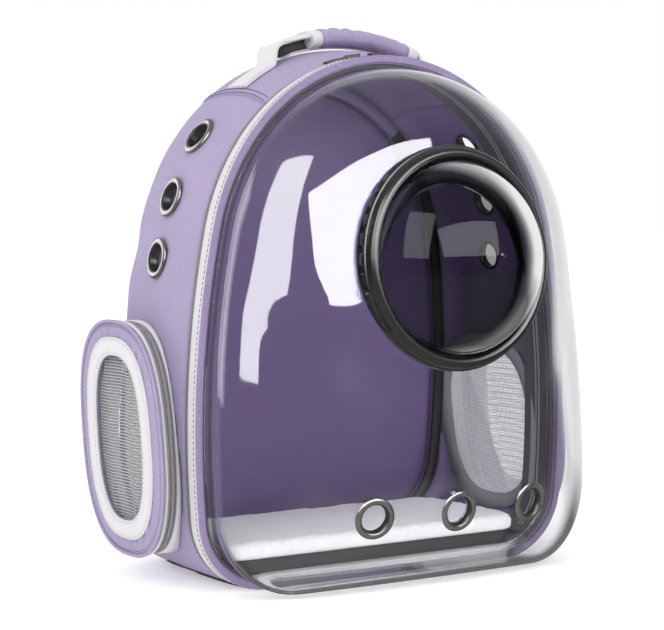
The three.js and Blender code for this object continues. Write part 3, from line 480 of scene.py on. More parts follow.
class Build:
    """A mesh in the making, in millimetres, with its cloth run and material of each face."""

    def __init__(self):
        self.points, self.faces, self.runs, self.slots = [], [], [], []

    def grid(self, rows, wrap=False, ring=False, caps=False):
        """A skin over rows of points: wrap joins the last row to the first, ring the ends of each row."""
        start = len(self.points)
        tall, wide = len(rows), len(rows[0])
        self.points += [p for row in rows for p in row]
        middle, half = tall // 2, wide // 2
        across, along = [0], [0]
        for j in range(wide):
            across.append(across[-1] + (rows[middle][(j + 1) % wide] - rows[middle][j]).length)
        for i in range(tall):
            along.append(along[-1] + (rows[(i + 1) % tall][half] - rows[i][half]).length)
        for i in range(tall if wrap else tall - 1):
            for j in range(wide if ring else wide - 1):
                corners = [(i, j), (i, j + 1), (i + 1, j + 1), (i + 1, j)]
                self.faces.append([start + (a % tall) * wide + b % wide for a, b in corners])
                self.runs.append([(along[a], across[b]) for a, b in corners])
                self.slots.append(0)
        if caps:
            for i, turn in ((0, False), (tall - 1, True)):
                loop = [start + i * wide + j for j in range(wide)]
                if turn:
                    loop.reverse()
                self.faces.append(loop)
                self.runs.append([(self.points[k].x, self.points[k].z) for k in loop])
                self.slots.append(0)
        return self

    def add(self, other):
        start = len(self.points)
        self.points += other.points
        self.faces += [[start + k for k in face] for face in other.faces]
        self.runs += other.runs
        self.slots += other.slots
        return self

    def piece(self, name, *finishes, sharp=None, stands_for=(), slot=None, check=True):
        name = name.replace(" ", "_")
        mesh = bpy.data.meshes.new(name)
        mesh.from_pydata([place(p) for p in self.points], [], self.faces)
        weave = mesh.uv_layers.new(name="weave")
        flat = [c * 0.001 for run in self.runs for pair in run for c in pair]
        weave.uv.foreach_set("vector", flat)
        mesh.polygons.foreach_set("material_index", self.slots)
        mesh.polygons.foreach_set("use_smooth", [True] * len(mesh.polygons))
        for finish in finishes:
            mesh.materials.append(FINISHES[finish])
        if check:
            work = bmesh.new()
            work.from_mesh(mesh)
            bmesh.ops.remove_doubles(work, verts=work.verts, dist=1e-7)
            bmesh.ops.recalc_face_normals(work, faces=work.faces)
            work.to_mesh(mesh)
            work.free()
        if sharp:
            mesh.set_sharp_from_angle(angle=math.radians(sharp))
        made = bpy.data.objects.new(name, mesh)
        bpy.context.collection.objects.link(made)
        if stands_for:
            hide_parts(*stands_for)
        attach(made, "root")
        return made


def settle(piece):
    """Turns a piece's modifiers into its mesh."""
    shaped = piece.evaluated_get(bpy.context.evaluated_depsgraph_get())
    mesh = bpy.data.meshes.new_from_object(shaped)
    piece.modifiers.clear()
    piece.data = mesh
    return piece


def cut_through(piece, plugs):
    """Cuts the plugs' shapes out of a piece."""
    plug = plugs.piece("plug for " + piece.name, "lining")
    cut = piece.modifiers.new("cut", "BOOLEAN")
    cut.operation, cut.solver, cut.object = "DIFFERENCE", "EXACT", plug
    settle(piece)
    bpy.data.objects.remove(plug)
    return piece


def turned(profile, steps, at, axis, wave=None):
    """A lathe shape as a Build: profile is radius and height, wave may change a radius by angle."""
    turn = Vector((0, 0, 1)).rotation_difference(axis)
    rows = []
    for i in range(steps):
        angle = 2 * math.pi * i / steps
        row = []
        for k, (radius, height) in enumerate(profile):
            r = radius + (wave(k, angle) if wave else 0)
            row.append(at + turn @ Vector((r * math.cos(angle), r * math.sin(angle), height)))
        rows.append(row)
    return Build().grid(rows, wrap=True, ring=True)


def rounded(corners, radius, steps=4):
    """A closed 2-D outline with its corners rounded."""
    made = []
    count = len(corners)
    for i in range(count):
        here = Vector(corners[i]).to_2d()
        before = (Vector(corners[i - 1]).to_2d() - here)
        after = (Vector(corners[(i + 1) % count]).to_2d() - here)
        size = radius[i] if isinstance(radius, (list, tuple)) else radius
        reach = min(size, before.length * 0.49, after.length * 0.49)
        a, b = here + before.normalized() * reach, here + after.normalized() * reach
        for k in range(steps + 1):
            t = k / steps
            made.append(tuple((1 - t) ** 2 * a + 2 * t * (1 - t) * here + t * t * b))
    return made


def rim_ring(section, relief=None):
    """A closed ring round the rim from its section, a closed list of inset and depth."""
    rows = []
    for i in range(LOOP_COUNT):
        row = []
        for k, (inset, depth) in enumerate(section):
            rise = relief(i, k) if relief else 0
            row.append(rim_at(i, inset - rise, depth))
        rows.append(row)
    return Build().grid(rows, wrap=True, ring=True)


def stitch(start, end, out, radius=0.33):
    """One thread stitch, sunk at both ends."""
    along = end - start
    side = along.normalized().cross(out).normalized()
    rows = []
    for t in (0, 0.18, 0.5, 0.82, 1):
        lift = radius * (0.7 if 0 < t < 1 else -0.5)
        centre = start + along * t + out * lift
        size = radius * (1 if 0 < t < 1 else 0.5)
        rows.append([
            centre + (side * math.cos(a) + out * math.sin(a)) * size
            for a in (0.0, 1.26, 2.51, 3.77, 5.03)
        ])
    return rows


def stitch_run(build, path, outs, length=2.6, gap=0.8, radius=0.33):
    """Stitches of even length along a path, whose outward directions are given."""
    run = [0]
    for a, b in zip(path, path[1:]):
        run.append(run[-1] + (b - a).length)
    i, at = 0, gap / 2
    while at + length < run[-1]:
        ends = []
        for distance in (at, at + length):
            while i < len(run) - 2 and run[i + 1] < distance:
                i += 1
            t = (distance - run[i]) / (run[i + 1] - run[i])
            ends.append(path[i].lerp(path[i + 1], t))
        build.grid(stitch(ends[0], ends[1], outs[i], radius), ring=True, caps=True)
        at += length + gap
    return build


def tube(path, radius, sides=10, closed=False, squash=1.0, up=None):
    """A round bar along a path, or a flattened one."""
    count = len(path)
    rows = []
    for i, point in enumerate(path):
        after = path[(i + 1) % count] if closed or i < count - 1 else path[i]
        before = path[i - 1] if closed or i else path[i]
        along = (after - before).normalized()
        side = along.cross(up or Vector((0, -1, 0))).normalized()
        rise = side.cross(along).normalized()
        rows.append([
            point + side * (radius * math.cos(a)) + rise * (radius * squash * math.sin(a))
            for a in (2 * math.pi * k / sides for k in range(sides))
        ])
    return Build().grid(rows, wrap=closed, ring=True, caps=not closed)


# Door rim

# Zip teeth: height out of the tape and reach across it, at the root and then at the tip
RIM_TOOTH = ((-0.9, 0.1), (0.55, 0.2), (-0.9, 2.3), (0.2, 2.1))
POUCH_TOOTH = ((-0.6, 0.1), (0.65, 0.15), (-0.6, 1.7), (0.25, 1.6))
TOOTH_HALF = 0.36


def tooth_pair(build, here, along, out, across, slip, tooth):
    """A zip tooth to each side of the chain's middle, one slipped along from the other."""
    for side in (-1, 1):
        root, tip = (
            [here + along * (a + side * slip) + out * tooth[k][0] + across * (side * tooth[k][1])
             for a, k in ((-TOOTH_HALF, low), (TOOTH_HALF, low), (TOOTH_HALF, low + 1), (-TOOTH_HALF, low + 1))]
            for low in (0, 2)
        )
        build.grid([root, tip], ring=True, caps=True)


SECTION_STEPS = 6
BASE_STRETCH = 104


def dress_rim():
    """Cloth binding with the flange of the door, piping, zip and the facing inside."""
    corners = [(0, -4), (0, -2.6), (6, -2.4), (6, 2), (9, 2), (8.8, 0.6), (5.7, 0.2), (5.3, -4)]
    frame_section = rounded(corners, [2.2, 1, 0.5, 0.3, 0.5, 0.5, 1, 1.6], SECTION_STEPS)

    def pucker(i, k):
        return 0.22 * noise.noise(Vector((i * 0.31, k * 0.15, 3.0)))

    binding = rim_ring(frame_section, pucker)
    flange = range(4 * (SECTION_STEPS + 1), 7 * (SECTION_STEPS + 1) + 2)
    for n in range(len(binding.slots)):
        i, k = divmod(n, len(frame_section))
        # Painted shade: along the base the binding takes grey zip tape cloth, standing for the shade under the
        # door.
        in_base_shade = RIM[i].z < 30 and abs(RIM[i].x) < BASE_STRETCH
        binding.slots[n] = 1 if k in flange else 2 if in_base_shade else 0
    binding.piece("rim binding", "binding", "facing cloth", "zip tape", stands_for=["front_frame"], slot="fabric")
    path = [rim_at(i, 0.02, -0.4) for i in range(LOOP_COUNT + 1)]
    threads = stitch_run(Build(), path, RIM_OUT + RIM_OUT[:1], 2.8, 0.9, 0.26)
    threads.piece("rim binding stitches", "thread", slot="fabric", check=False)
    facing = Build()
    rows = []
    for i in range(CORNER + 4, LOOP_COUNT - CORNER - 3):
        rows.append([rim_at(i, inset, depth) for inset, depth in (
            (7.2, 2.3), (8.2, 2.3), (8.6, 12), (8.2, 20), (8.8, 31), (7.9, 31.4), (7.6, 20), (7.6, 12),
        )])
    facing.grid(rows, ring=True, caps=True)
    facing.piece("rim facing", "facing cloth", sharp=50, slot="black_fabric")
    seam = Build()
    for depth in (14, 17.5):
        rows = [
            [rim_at(i, inset, depth + d) for inset, d in ((8.5, -0.9), (9.1, -0.5), (9.1, 0.5), (8.5, 0.9))]
            for i in range(CORNER + 6, LOOP_COUNT - CORNER - 5)
        ]
        seam.grid(rows, ring=True, caps=True)
    seam.piece("rim facing tape", "net border", slot="webbing")
    piping_section = rounded([(-0.1, -2.3), (0, 9.3), (5.1, 9.3), (5.1, -2.1)], [2.4, 3, 0.8, 0.6], 5)
    rim_ring(piping_section).piece("rim piping", "piping", stands_for=["front_piping"], slot="webbing")
    tape = rounded([(1.6, 9.6), (1.7, 13), (2.7, 16.6), (5.5, 16.6), (5.5, 9.6)], 0.5, 2)
    rim_ring(tape).piece("rim zip tape", "zip tape", stands_for=["front_zip"], slot="zip_tape")
    coils = Build()
    path = spaced([rim_at(i, 1.5, 12.6) for i in range(LOOP_COUNT)], 620, True)
    for n, here in enumerate(path):
        along = (path[(n + 1) % len(path)] - here).normalized()
        tooth_pair(coils, here, along, Vector((along.z, 0, -along.x)), Vector((0, 1, 0)), 0.35, RIM_TOOTH)
    coils.piece("rim zip teeth", "zip coil", slot="zip_tape", check=False)


# Cabin walls

def cabin_relief(point, side):
    """How far the cloth stands out of its true surface, in millimetres."""
    puff = 0.9 * noise.noise(point * 0.013) + 0.35 * noise.noise(point * 0.045)
    sag = 0
    if side:
        over = smooth_step(178, 215, point.z) * (1 - smooth_step(225, 262, point.z))
        fold = math.sin((point.y * 0.9 + point.z * 0.55) * 0.12 + 1.1)
        sag = 2.0 * over * fold
    return puff + sag


def cabin_band(first, last, slack=0.0, side=False):
    """Outer grid of a stretch of the cabin wall between two places on the outline."""
    rows = [[loop[i % LOOP_COUNT].copy() for loop in CABIN_LOOPS] for i in range(first, last + 1)]
    outs = grid_normals(rows)
    for i, row in enumerate(rows):
        for j, point in enumerate(row):
            out = outs[i][j]
            middle = Vector((point.x, 0, point.z - 185))
            out = out if out.dot(middle) > 0 else -out
            edge = min(j, len(row) - 1 - j) / 4
            point += out * (cabin_relief(point, side) * min(edge, 1) * 0.8 + slack)
    return rows


def walled(rows, name, outer, inner, node, slot):
    """A cloth wall with its own face colour inside and out."""
    piece = Build().grid(rows).piece(name, outer, inner, stands_for=[node], slot=slot)
    wall = piece.modifiers.new("wall", "SOLIDIFY")
    wall.thickness, wall.offset = WALL * 0.001, -1
    wall.use_even_offset = True
    wall.material_offset = 1
    return settle(piece)


def face_away(rows):
    """The rows in the order that turns their faces away from the cabin's middle."""
    i, j = len(rows) // 2, len(rows[0]) // 2
    out = (rows[i + 1][j] - rows[i - 1][j]).cross(rows[i][j + 1] - rows[i][j - 1])
    middle = Vector((rows[i][j].x, 0, rows[i][j].z - 185))
    return rows if out.dot(middle) < 0 else rows[::-1]


def eyelet_seats():
    seats = []
    for depth, height in ((61.03, 313.1), (64.97, 270.1), (69.93, 227.1)):
        reach = side_reach(depth, height)
        rise = (side_reach(depth, height - 7) - side_reach(depth, height + 7)) / 14
        lean = (side_reach(depth - 7, height) - side_reach(depth + 7, height)) / 14
        for name, sign in SIDES.items():
            out = Vector((sign, lean, rise)).normalized()
            seats.append((name, Vector((sign * reach, depth, height)), out))
    return seats


POUCH_Y, POUCH_Z, POUCH_LEAN, POUCH_POWER = 76, 102, 0.14, 2.6
WINDOW_Z = 95


def oval(length, height, centre_z=POUCH_Z, count=120):
    """Leaning rounded outline of a pouch, as depth and height."""
    made = []
    for i in range(count):
        a = 2 * math.pi * i / count
        y, z = (math.copysign(abs(v) ** (2 / POUCH_POWER), v) for v in (math.cos(a), math.sin(a)))
        z = centre_z + height / 2 * z
        made.append((POUCH_Y + length / 2 * y + POUCH_LEAN * (z - POUCH_Z), z))
    return made


def dress_cabin():
    seats = eyelet_seats()
    hole = oval(100, 124, 94)
    for name, sign in SIDES.items():
        span = (CORNER, SEAM) if sign > 0 else (LOOP_COUNT - SEAM, LOOP_COUNT - CORNER)
        rows = face_away(cabin_band(*span, side=True))
        band = walled(rows, f"{name} side cloth", "lavender", "lining", f"{name}_side_band", "fabric")
        plugs = Build()
        for side, at, out in seats:
            if side == name:
                plugs.add(turned([(0.01, -16), (9.6, -16), (9.6, 16), (0.01, 16)], 40, at, out))
        plugs.grid([[Vector((sign * x, y, z)) for y, z in hole] for x in (110, 185)], ring=True, caps=True)
        cut_through(band, plugs)
    top = face_away(cabin_band(SEAM, LOOP_COUNT - SEAM, slack=0.35))
    walled(top, "top cloth", "lavender", "lining", "top_band", "fabric")
    base = face_away(cabin_band(-CORNER, CORNER))
    for row in base:
        for point in row:
            if point.z < 2.2:
                point.z = 0.0
    walled(base, "base cloth", "black cloth", "black cloth", "base_panel", "black_fabric")
    threads = Build()
    for first, step in ((SEAM, 1), (LOOP_COUNT - SEAM, -1)):
        for offset in (0.4, 1.4):
            low = first + step * int(offset)
            share = offset - int(offset)
            path, outs = [], []
            for loop in CABIN_LOOPS[1:-2]:
                a, b = loop[low % LOOP_COUNT], loop[(low + step) % LOOP_COUNT]
                out = Vector(((b - a).z, 0, -(b - a).x)).normalized() * step
                out = out if out.z > 0 else -out
                point = a.lerp(b, share) + out * 0.5
                path.append(point + out * 0.8 * cabin_relief(point, False))
                outs.append(out)
            stitch_run(threads, path, outs, 2.6, 1.0, 0.36)
    threads.piece("shoulder seam stitches", "thread", slot="fabric", check=False)


BACK_CHANNELS = (78, 172, 262)


def dress_back():
    """Padded back panel with sewn channels outside, and the black binding round it inside."""
    edge = [p.copy() for p in CABIN_LOOPS[-1]]
    outs = loop_normals([Vector((p.x, 0, p.z)) for p in edge])
    core = Vector((0, 0, 172))

    def layer(inset, forward, share=0.0, swell=0.0):
        row = []
        for point, out in zip(edge, outs):
            flat = Vector((point.x, 0, point.z)) - out * inset
            flat = flat.lerp(core, share)
            y = back_depth(flat.z) - forward
            if swell:
                y += swell * (1 - (1 - share) ** 3) + 0.5 * noise.noise(flat * 0.02)
            row.append(Vector((flat.x, y, flat.z)))
        return row

    shares = [0.03, 0.08, 0.15, 0.25, 0.37, 0.5, 0.63, 0.76, 0.88, 0.97]
    outside = [layer(6, -2, share, 2.6) for share in reversed(shares)]
    for row in outside:
        for point in row:
            for channel in BACK_CHANNELS:
                dip = math.exp(-((point.z - channel) / 4.5) ** 2)
                point.y -= 2.4 * dip * smooth_step(132, 100, abs(point.x))
    inside = [layer(5, 8, share, -2.2) for share in shares]
    rows = outside + [layer(5.6, -2), layer(2.2, -0.6), layer(1.7, 1), layer(1.7, 6), layer(4.2, 8)] + inside
    panel = Build().grid(rows, ring=True, caps=True)
    panel.piece("padded back panel", "panel", stands_for=["back_panel"], slot="inner_fabric")
    path = []
    for point, out in zip(edge, outs):
        flat = Vector((point.x, 0, point.z)) + out * 3.4
        path.append(Vector((flat.x, back_depth(flat.z) - 10.9, flat.z)))
    cord = tube(path, 4.7, 14, True, 0.6)
    cord.slots = [1 if path[n // 14].z > 322 else 0 for n in range(len(cord.slots))]
    cord.piece("back binding cord", "black cloth", "panel", stands_for=["back_binding"], slot="black_fabric")
    threads = Build()
    for channel in BACK_CHANNELS:
        path = []
        for n in range(61):
            x = -104 + 208 * n / 60
            path.append(Vector((x, back_depth(channel) + 2.0, channel)))
        stitch_run(threads, path, [Vector((0, 1, 0))] * 61, 3, 1.1, 0.4)
    threads.piece("back panel stitches", "thread", slot="fabric", check=False)


# Floor

def floor_outline(margin, from_y, back_y, reach, corner=26, count=160):
    points = []
    for cx, cy, start in ((1, 1, 0), (-1, 1, 1), (-1, -1, 2), (1, -1, 3)):
        r = corner if cy > 0 else corner / 3
        for k in range(13):
            a = math.pi / 2 * (start + k / 12)
            y = (back_y - margin - r if cy > 0 else from_y + margin + r) + r * math.sin(a)
            points.append((cx * (reach - margin - r) + r * math.cos(a), y, 0))
    return [(p.x, p.y) for p in spaced(points, count, True)]


def dress_floor():
    reach = side_reach(BASE_CENTRE, 9) - WALL
    board_back = back_depth(18) - 18
    rows = []
    for z, inset in ((3.3, 1.2), (4.2, 0.2), (10, 0), (16.6, 0), (17.7, 0.5), (18, 1.6)):
        rows.append([Vector((x, y, z)) for x, y in floor_outline(4.2 + inset, 13, board_back, reach)])
    board = Build().grid(rows, ring=True, caps=True)
    board.piece("floor board", "board", sharp=50, stands_for=["floor_board"], slot="board_cover")
    low, high = 18.3, 31.3
    back_at = back_depth(high) - 18
    rows = []
    for z, inset in ((low, 3), (low + 1, 0.8), (low + 3, 0), (high - 5, 0), (high - 2, 1.2), (high - 0.6, 3.4)):
        rows.append([Vector((x, y, z)) for x, y in floor_outline(6.5 + inset, 2.5, back_at, reach + 1.5)])
    middle = Vector((0, 62, high - 0.4))
    ring = rows[-1]
    for n in range(1, 26):
        share = n / 26
        rows.append([point.lerp(middle, share) for point in ring])
    for row in rows[3:]:
        for point in row:
            top = smooth_step(high - 6, high - 1, point.z)
            tuft = noise.noise(point * 0.16) + 0.6 * noise.noise(point * 0.42)
            point.z += top * (0.9 * tuft - 0.4)
            point.y += 0.8 * noise.noise(point * 0.2) * (1 - top)
    pad = Build().grid(rows, ring=True, caps=True)
    piece = pad.piece("plush floor pad", "plush", stands_for=["floor_pad"], slot="plush")


# Clear door

SHELL_DEPTH = 86
SHELL_INSET = 9.3
SHELL_EDGE = 82
SHELL_LEAN = 0.065
SHELL_POWER = 2.25
SIDE_SWELL, BASE_SWELL, TOP_SWELL = 9.5, 16, 2
SWELL_END = 0.93
BUBBLE = Vector((0, 0, 228))
RING_RADIUS = 77
SLOT_MIDDLE = 166


def face_depth(x, z):
    """How far the flat of the door stands out: it leans back, and is crowned clear of the bubble."""
    away = math.hypot(x, z - BUBBLE.z) - RING_RADIUS
    crown = smooth_step(4, 60, away) * x * x / 840
    return SHELL_DEPTH - SHELL_LEAN * (z - 56) - crown


def shell_rise(distance):
    """Share of the full depth that the shell reaches at a distance in from its edge."""
    return (1 - (1 - min(distance / SHELL_EDGE, 1)) ** SHELL_POWER) ** (1 / SHELL_POWER)


def shell_point(i, distance):
    """The sheet at a distance in from its edge. It swells out at the sides and along the base."""
    start = rim_at(i, SHELL_INSET, 0)
    point = start.lerp(BUBBLE, min(distance / (BUBBLE - start).length, 1))
    rise = shell_rise(distance)
    point.y = -face_depth(point.x, point.z) * rise
    out = RIM_OUT[i % LOOP_COUNT]
    swell = SIDE_SWELL * out.x * out.x + BASE_SWELL * max(-out.z, 0) ** 2 + TOP_SWELL * max(out.z, 0) ** 2
    return point + out * (swell * math.sin(math.pi * min(rise / SWELL_END, 1) ** 1.6))


def shell_surface(x, z):
    return -face_depth(x, z) * shell_rise(z)


SEAT_OUT = Vector((0, -1, SHELL_LEAN)).normalized()
SEAT = Vector((0, -face_depth(0, BUBBLE.z), BUBBLE.z))


def dress_door():
    rows = []
    for i in range(LOOP_COUNT):
        start = rim_at(i, SHELL_INSET, 0)
        span = (BUBBLE - start).length
        line = [Vector((start.x, 1.6, start.z))]
        for n in range(22):
            line.append(shell_point(i, SHELL_EDGE * (n / 22) ** 1.9))
        stop = span - 70.8
        for n in range(12):
            line.append(shell_point(i, SHELL_EDGE + (stop - SHELL_EDGE) * n / 11))
        rows.append(line)
    shell = Build().grid(rows, wrap=True)
    sheet = shell.piece("clear door sheet", "clear", stands_for=["clear_shell"], slot="clear_plastic")
    inward = sheet.data.polygons[len(sheet.data.polygons) // 2]
    wall = sheet.modifiers.new("wall", "SOLIDIFY")
    wall.thickness = 0.0018
    wall.offset = -1 if inward.normal.dot(inward.center - place((0, 20, 180))) > 0 else 1
    settle(sheet)
    plugs = Build()
    for n, at, out in front_seats():
        plugs.add(turned([(0.01, -14), (9.9, -14), (9.9, 14), (0.01, 14)], 40, at, out))
    cut_through(sheet, plugs)


def front_seats():
    seats = []
    for n in range(3):
        x, z = (n - 1) * 66, 56
        out = Vector((
            (shell_surface(x + 6, z) - shell_surface(x - 6, z)) / 12, -1,
            (shell_surface(x, z + 6) - shell_surface(x, z - 6)) / 12,
        )).normalized()
        seats.append((n + 1, Vector((x, shell_surface(x, z), z)), out))
    return seats


def eyelet(name, at, out, wall, proud, node):
    """Rolled metal eyelet: a domed flange, a throat, and a flat washer behind the wall."""
    back = -wall - proud
    profile = [
        (9.2, back - 0.4), (9.5, back - 0.9), (11.2, back - 1.0), (11.6, back - 0.5), (11.2, back),
        (9.9, back + 0.1),
        (9.9, proud - 0.1), (14.1, proud - 0.1), (14.5, proud + 0.15), (14.35, proud + 0.6),
        (13.6, proud + 1.1), (12.6, proud + 1.45), (11.6, proud + 1.5), (10.6, proud + 1.2),
        (9.7, proud + 0.4), (9.3, back + 1),
    ]
    ring = turned(profile, 56, at, out)
    # Painted shade: the inner lip, throat and washer take near-black metal so the hole reads dark.
    ring.slots = [0 if 6 <= n % len(profile) < 13 else 1 for n in range(len(ring.slots))]
    ring.piece(name, "metal", "eyelet throat shade", sharp=40, stands_for=[node], slot="eyelet_metal")


def dress_eyelets():
    for n, at, out in front_seats():
        eyelet(f"front eyelet {n}", at, out, 2, 0.35, f"front_eyelet_{n}")
    counts = {"left": 0, "right": 0}
    for side, at, out in eyelet_seats():
        counts[side] += 1
        eyelet(f"{side} eyelet {counts[side]}", at, out, WALL, 0.9, f"{side}_eyelet_{counts[side]}")


def dress_bubble():
    """Black ring with a stepped lip, locking slots in its edge, and the clear dome."""
    profile = [
        (67, -13), (69.4, -13), (69.8, -4), (70, 0.6), (76.4, 0.6), (77, 1.2), (77, 5.6), (76.5, 6.4), (75.6, 6.7),
    ]
    for k in range(13):
        a = math.pi * (0.08 + 0.92 * k / 12)
        profile.append((71.2 + 4.2 * math.cos(a), 7.4 + 5.2 * math.sin(a) + 0.1 * k))
    profile.append((67, 7.6))
    for height in (5.5, 0, -5.5, -10):
        profile += [(67, height + 0.9), (66.9, height + 0.5), (66.9, height - 0.5), (67, height - 0.9)]

    def slots(k, angle):
        if k not in (4, 5, 6) or abs(math.degrees(angle) - SLOT_MIDDLE) > 36:
            return 0
        step = (math.degrees(angle) - SLOT_MIDDLE + 36) / 10 % 1
        notch = smooth_step(0.28, 0.34, step) * (1 - smooth_step(0.66, 0.72, step))
        return -2.4 * notch

    ring = turned(profile, 720, SEAT, SEAT_OUT, slots)
    ring.piece("bubble ring", "ring", sharp=38, stands_for=["bubble_ring"], slot="ring_plastic")
    outer, rise = 66.6, 44
    sphere = (outer * outer + rise * rise) / (2 * rise)
    half = math.asin(outer / sphere)

    def cap(radius, foot):
        points = [(foot, -3)]
        for i in range(25):
            a = half * (24 - i) / 24
            points.append((max(min(foot, radius * math.sin(a)), 0.02), 11.8 + rise - sphere + radius * math.cos(a)))
        return points

    skin = cap(sphere, outer) + cap(sphere - 2, outer - 2)[::-1]
    dome = turned(skin, 144, SEAT, SEAT_OUT)
    dome.piece("clear dome", "dome", stands_for=["bubble_dome"], slot="clear_plastic")


# Side pouches

def pouch_band(sign, section, count=200):
    """A ring round a pouch: section gives reach (None: on the wall), flare and growth."""
    rows = [[] for _ in range(count)]
    for reach, flare, grow in section:
        line = oval(122 - 20 * flare + 2 * grow, 162 + 2 * grow, POUCH_Z, count)
        for i, (y, z) in enumerate(line):
            x = side_reach(y, z) + 1.2 if reach is None else reach
            rows[i].append(Vector((sign * x, y, z)))
    return Build().grid(rows, wrap=True, ring=True)


def pouch_teeth(sign, reach, flare, grow):
    """One chain of zip teeth round a pouch."""
    line = oval(122 - 20 * flare + 2 * grow, 162 + 2 * grow, POUCH_Z, 240)
    path = spaced([Vector((sign * reach, y, z)) for y, z in line], 300, True)
    teeth = Build()
    for n, here in enumerate(path):
        along = (path[(n + 1) % len(path)] - path[n - 1]).normalized()
        out = Vector((0, along.z, -along.y))
        tooth_pair(teeth, here, along, out, Vector((sign, 0, 0)), 0.36, POUCH_TOOTH)
    return teeth


def pouch_panel(sign, bands, count=200):
    """A closed ring of cloth from rows of length, height and reach, where reach may vary by place."""
    rows = [[] for _ in range(count)]
    for length, height, reach in bands:
        for i, (y, z) in enumerate(oval(length, height, POUCH_Z, count)):
            rows[i].append(Vector((sign * (reach(i, y, z) if callable(reach) else reach), y, z)))
    return Build().grid(rows, wrap=True, ring=True)


def gathers(depth, fade):
    """Soft pleats at the top and bottom of a pouch face."""
    def reach(base, t):
        def at(i, y, z):
            near = smooth_step(38, 66, abs(z - POUCH_Z))
            wave = math.sin(y * 0.72 + 0.9 * math.sin(y * 0.21)) + 0.5 * math.sin(y * 1.31 + 2)
            return base + depth * near * wave * fade(t) + 0.5 * noise.noise(Vector((y, z, 0)) * 0.03)
        return at
    return reach


def dress_pouches():
    base, zip_top, rim_top, face_top = 160.92, 168.72, 173.52, 176.82
    trim_top = face_top + 1.73
    for name, sign in SIDES.items():
        flange = pouch_band(sign, [
            (None, 1, -4), (None, 1, -0.6), (None, 1, 0.4), (base - 1.2, 1, 0.2), (base - 0.2, 1, -0.6),
            (base, 1, -1.4), (base, 1, -4), (base - 1, 1, -4),
        ])
        flange.piece(f"{name} pouch flange", "webbing", stands_for=[f"{name}_pouch_base"], slot="webbing")
        tape = pouch_band(sign, [
            (base + 0.3, 0.8, -3.4), (base + 0.3, 0.8, -1.0), (base + 2.0, 0.78, -1.4), (base + 3.9, 0.7, -0.9),
            (base + 5.8, 0.62, -1.4), (zip_top, 0.6, -0.9), (zip_top, 0.6, -3.4),
        ])
        tape.piece(f"{name} pouch zip tape", "pouch tape", stands_for=[f"{name}_pouch_zip"], slot="zip_tape")
        chains = pouch_teeth(sign, base + 2.0, 0.78, -0.9).add(pouch_teeth(sign, base + 5.9, 0.62, -0.9))
        chains.piece(f"{name} pouch zip teeth", "zip coil", slot="zip_tape", check=False)
        rim = pouch_band(sign, [
            (zip_top + 0.3, 0.5, -4), (zip_top + 0.3, 0.5, -0.8), (zip_top + 0.9, 0.48, 0.1),
            (zip_top + 2.4, 0.3, 0.5), (rim_top - 0.8, 0.12, 0.3), (rim_top, 0.1, -0.6), (rim_top, 0.1, -4),
        ])
        rim.piece(f"{name} pouch wall", "webbing", stands_for=[f"{name}_pouch_rim"], slot="webbing")
        pleat = gathers(0.8, lambda t: math.sin(math.pi * min(max(t, 0), 1)) ** 0.6)
        bands = []
        for k in range(9):
            a = math.pi * (1.5 - k / 6)
            grow = 2.7 * math.cos(a)
            bands.append((121.6 + grow, 161.6 + grow, rim_top + 1.9 + 1.7 * math.sin(a)))
        grooves = [(117.0, 157.0, face_top - 1.0), (115.6, 155.6, face_top - 1.5), (114.2, 154.2, face_top - 0.7)]
        flat = []
        for k in range(9):
            t = k / 8
            length = 112.6 - 38.6 * t
            flat.append((length, length + 42 + 2 * t, pleat(face_top - 0.1, t)))
        under = [(74, 118, rim_top + 0.4), (118, 158, rim_top + 0.3)]
        face = pouch_panel(sign, bands[::-1] + grooves + flat + under, 260)
        face.piece(f"{name} pouch face", "lavender", stands_for=[f"{name}_pouch_face"], slot="fabric")
        threads = Build()
        seams = ((113.4, 153.4, face_top - 0.35), (93.4, 137.4, trim_top), (73.4, 117.4, trim_top))
        for length, height, reach in seams:
            line = [Vector((sign * reach, y, z)) for y, z in oval(length, height, POUCH_Z, 240)]
            finish_run = line + [line[0]]
            stitch_run(threads, finish_run, [Vector((sign, 0, 0))] * len(finish_run), 2.6, 0.9, 0.24)
        threads.piece(f"{name} pouch stitches", "pale thread", slot="webbing", check=False)
        trim = pouch_panel(sign, [
            (96, 140, face_top + 0.1), (96, 140, face_top + 1.1), (95, 139, trim_top), (84, 128, trim_top + 0.1),
            (71.5, 115.5, trim_top), (70, 114, face_top + 1.1), (70, 114, face_top + 0.1), (83, 127, face_top),
        ])
        trim.piece(f"{name} pouch trim", "webbing", sharp=60, stands_for=[f"{name}_pouch_trim"], slot="webbing")
        pouch_net(name, sign, rim_top)


def inside_oval(y, z, length, height):
    u, v = (y - POUCH_Y - POUCH_LEAN * (z - POUCH_Z)) / (length / 2), (z - POUCH_Z) / (height / 2)
    return abs(u) ** POUCH_POWER + abs(v) ** POUCH_POWER < 1


def in_window(y, z):
    u, v = (y - POUCH_Y - POUCH_LEAN * (z - WINDOW_Z)) / 48, (z - WINDOW_Z) / 60
    return abs(u) ** POUCH_POWER + abs(v) ** POUCH_POWER < 1


def mesh_fold(y, z):
    """A soft diagonal fold across the window mesh."""
    across = (y - 74) * 0.86 - (z - WINDOW_Z) * 0.5
    return 1.6 * math.exp(-((across - 6) / 5) ** 2) + 0.6 * noise.noise(Vector((y, z, 0)) * 0.05)


def net_bulge(y, z):
    """The window net sags in with two soft upright folds."""
    u = (y - POUCH_Y - POUCH_LEAN * (z - POUCH_Z)) / 35
    fold = 2.2 * math.exp(-((u + 0.35) / 0.16) ** 2) + 1.3 * math.exp(-((u - 0.62) / 0.12) ** 2)
    return fold - 0.9 * (1 - u * u)


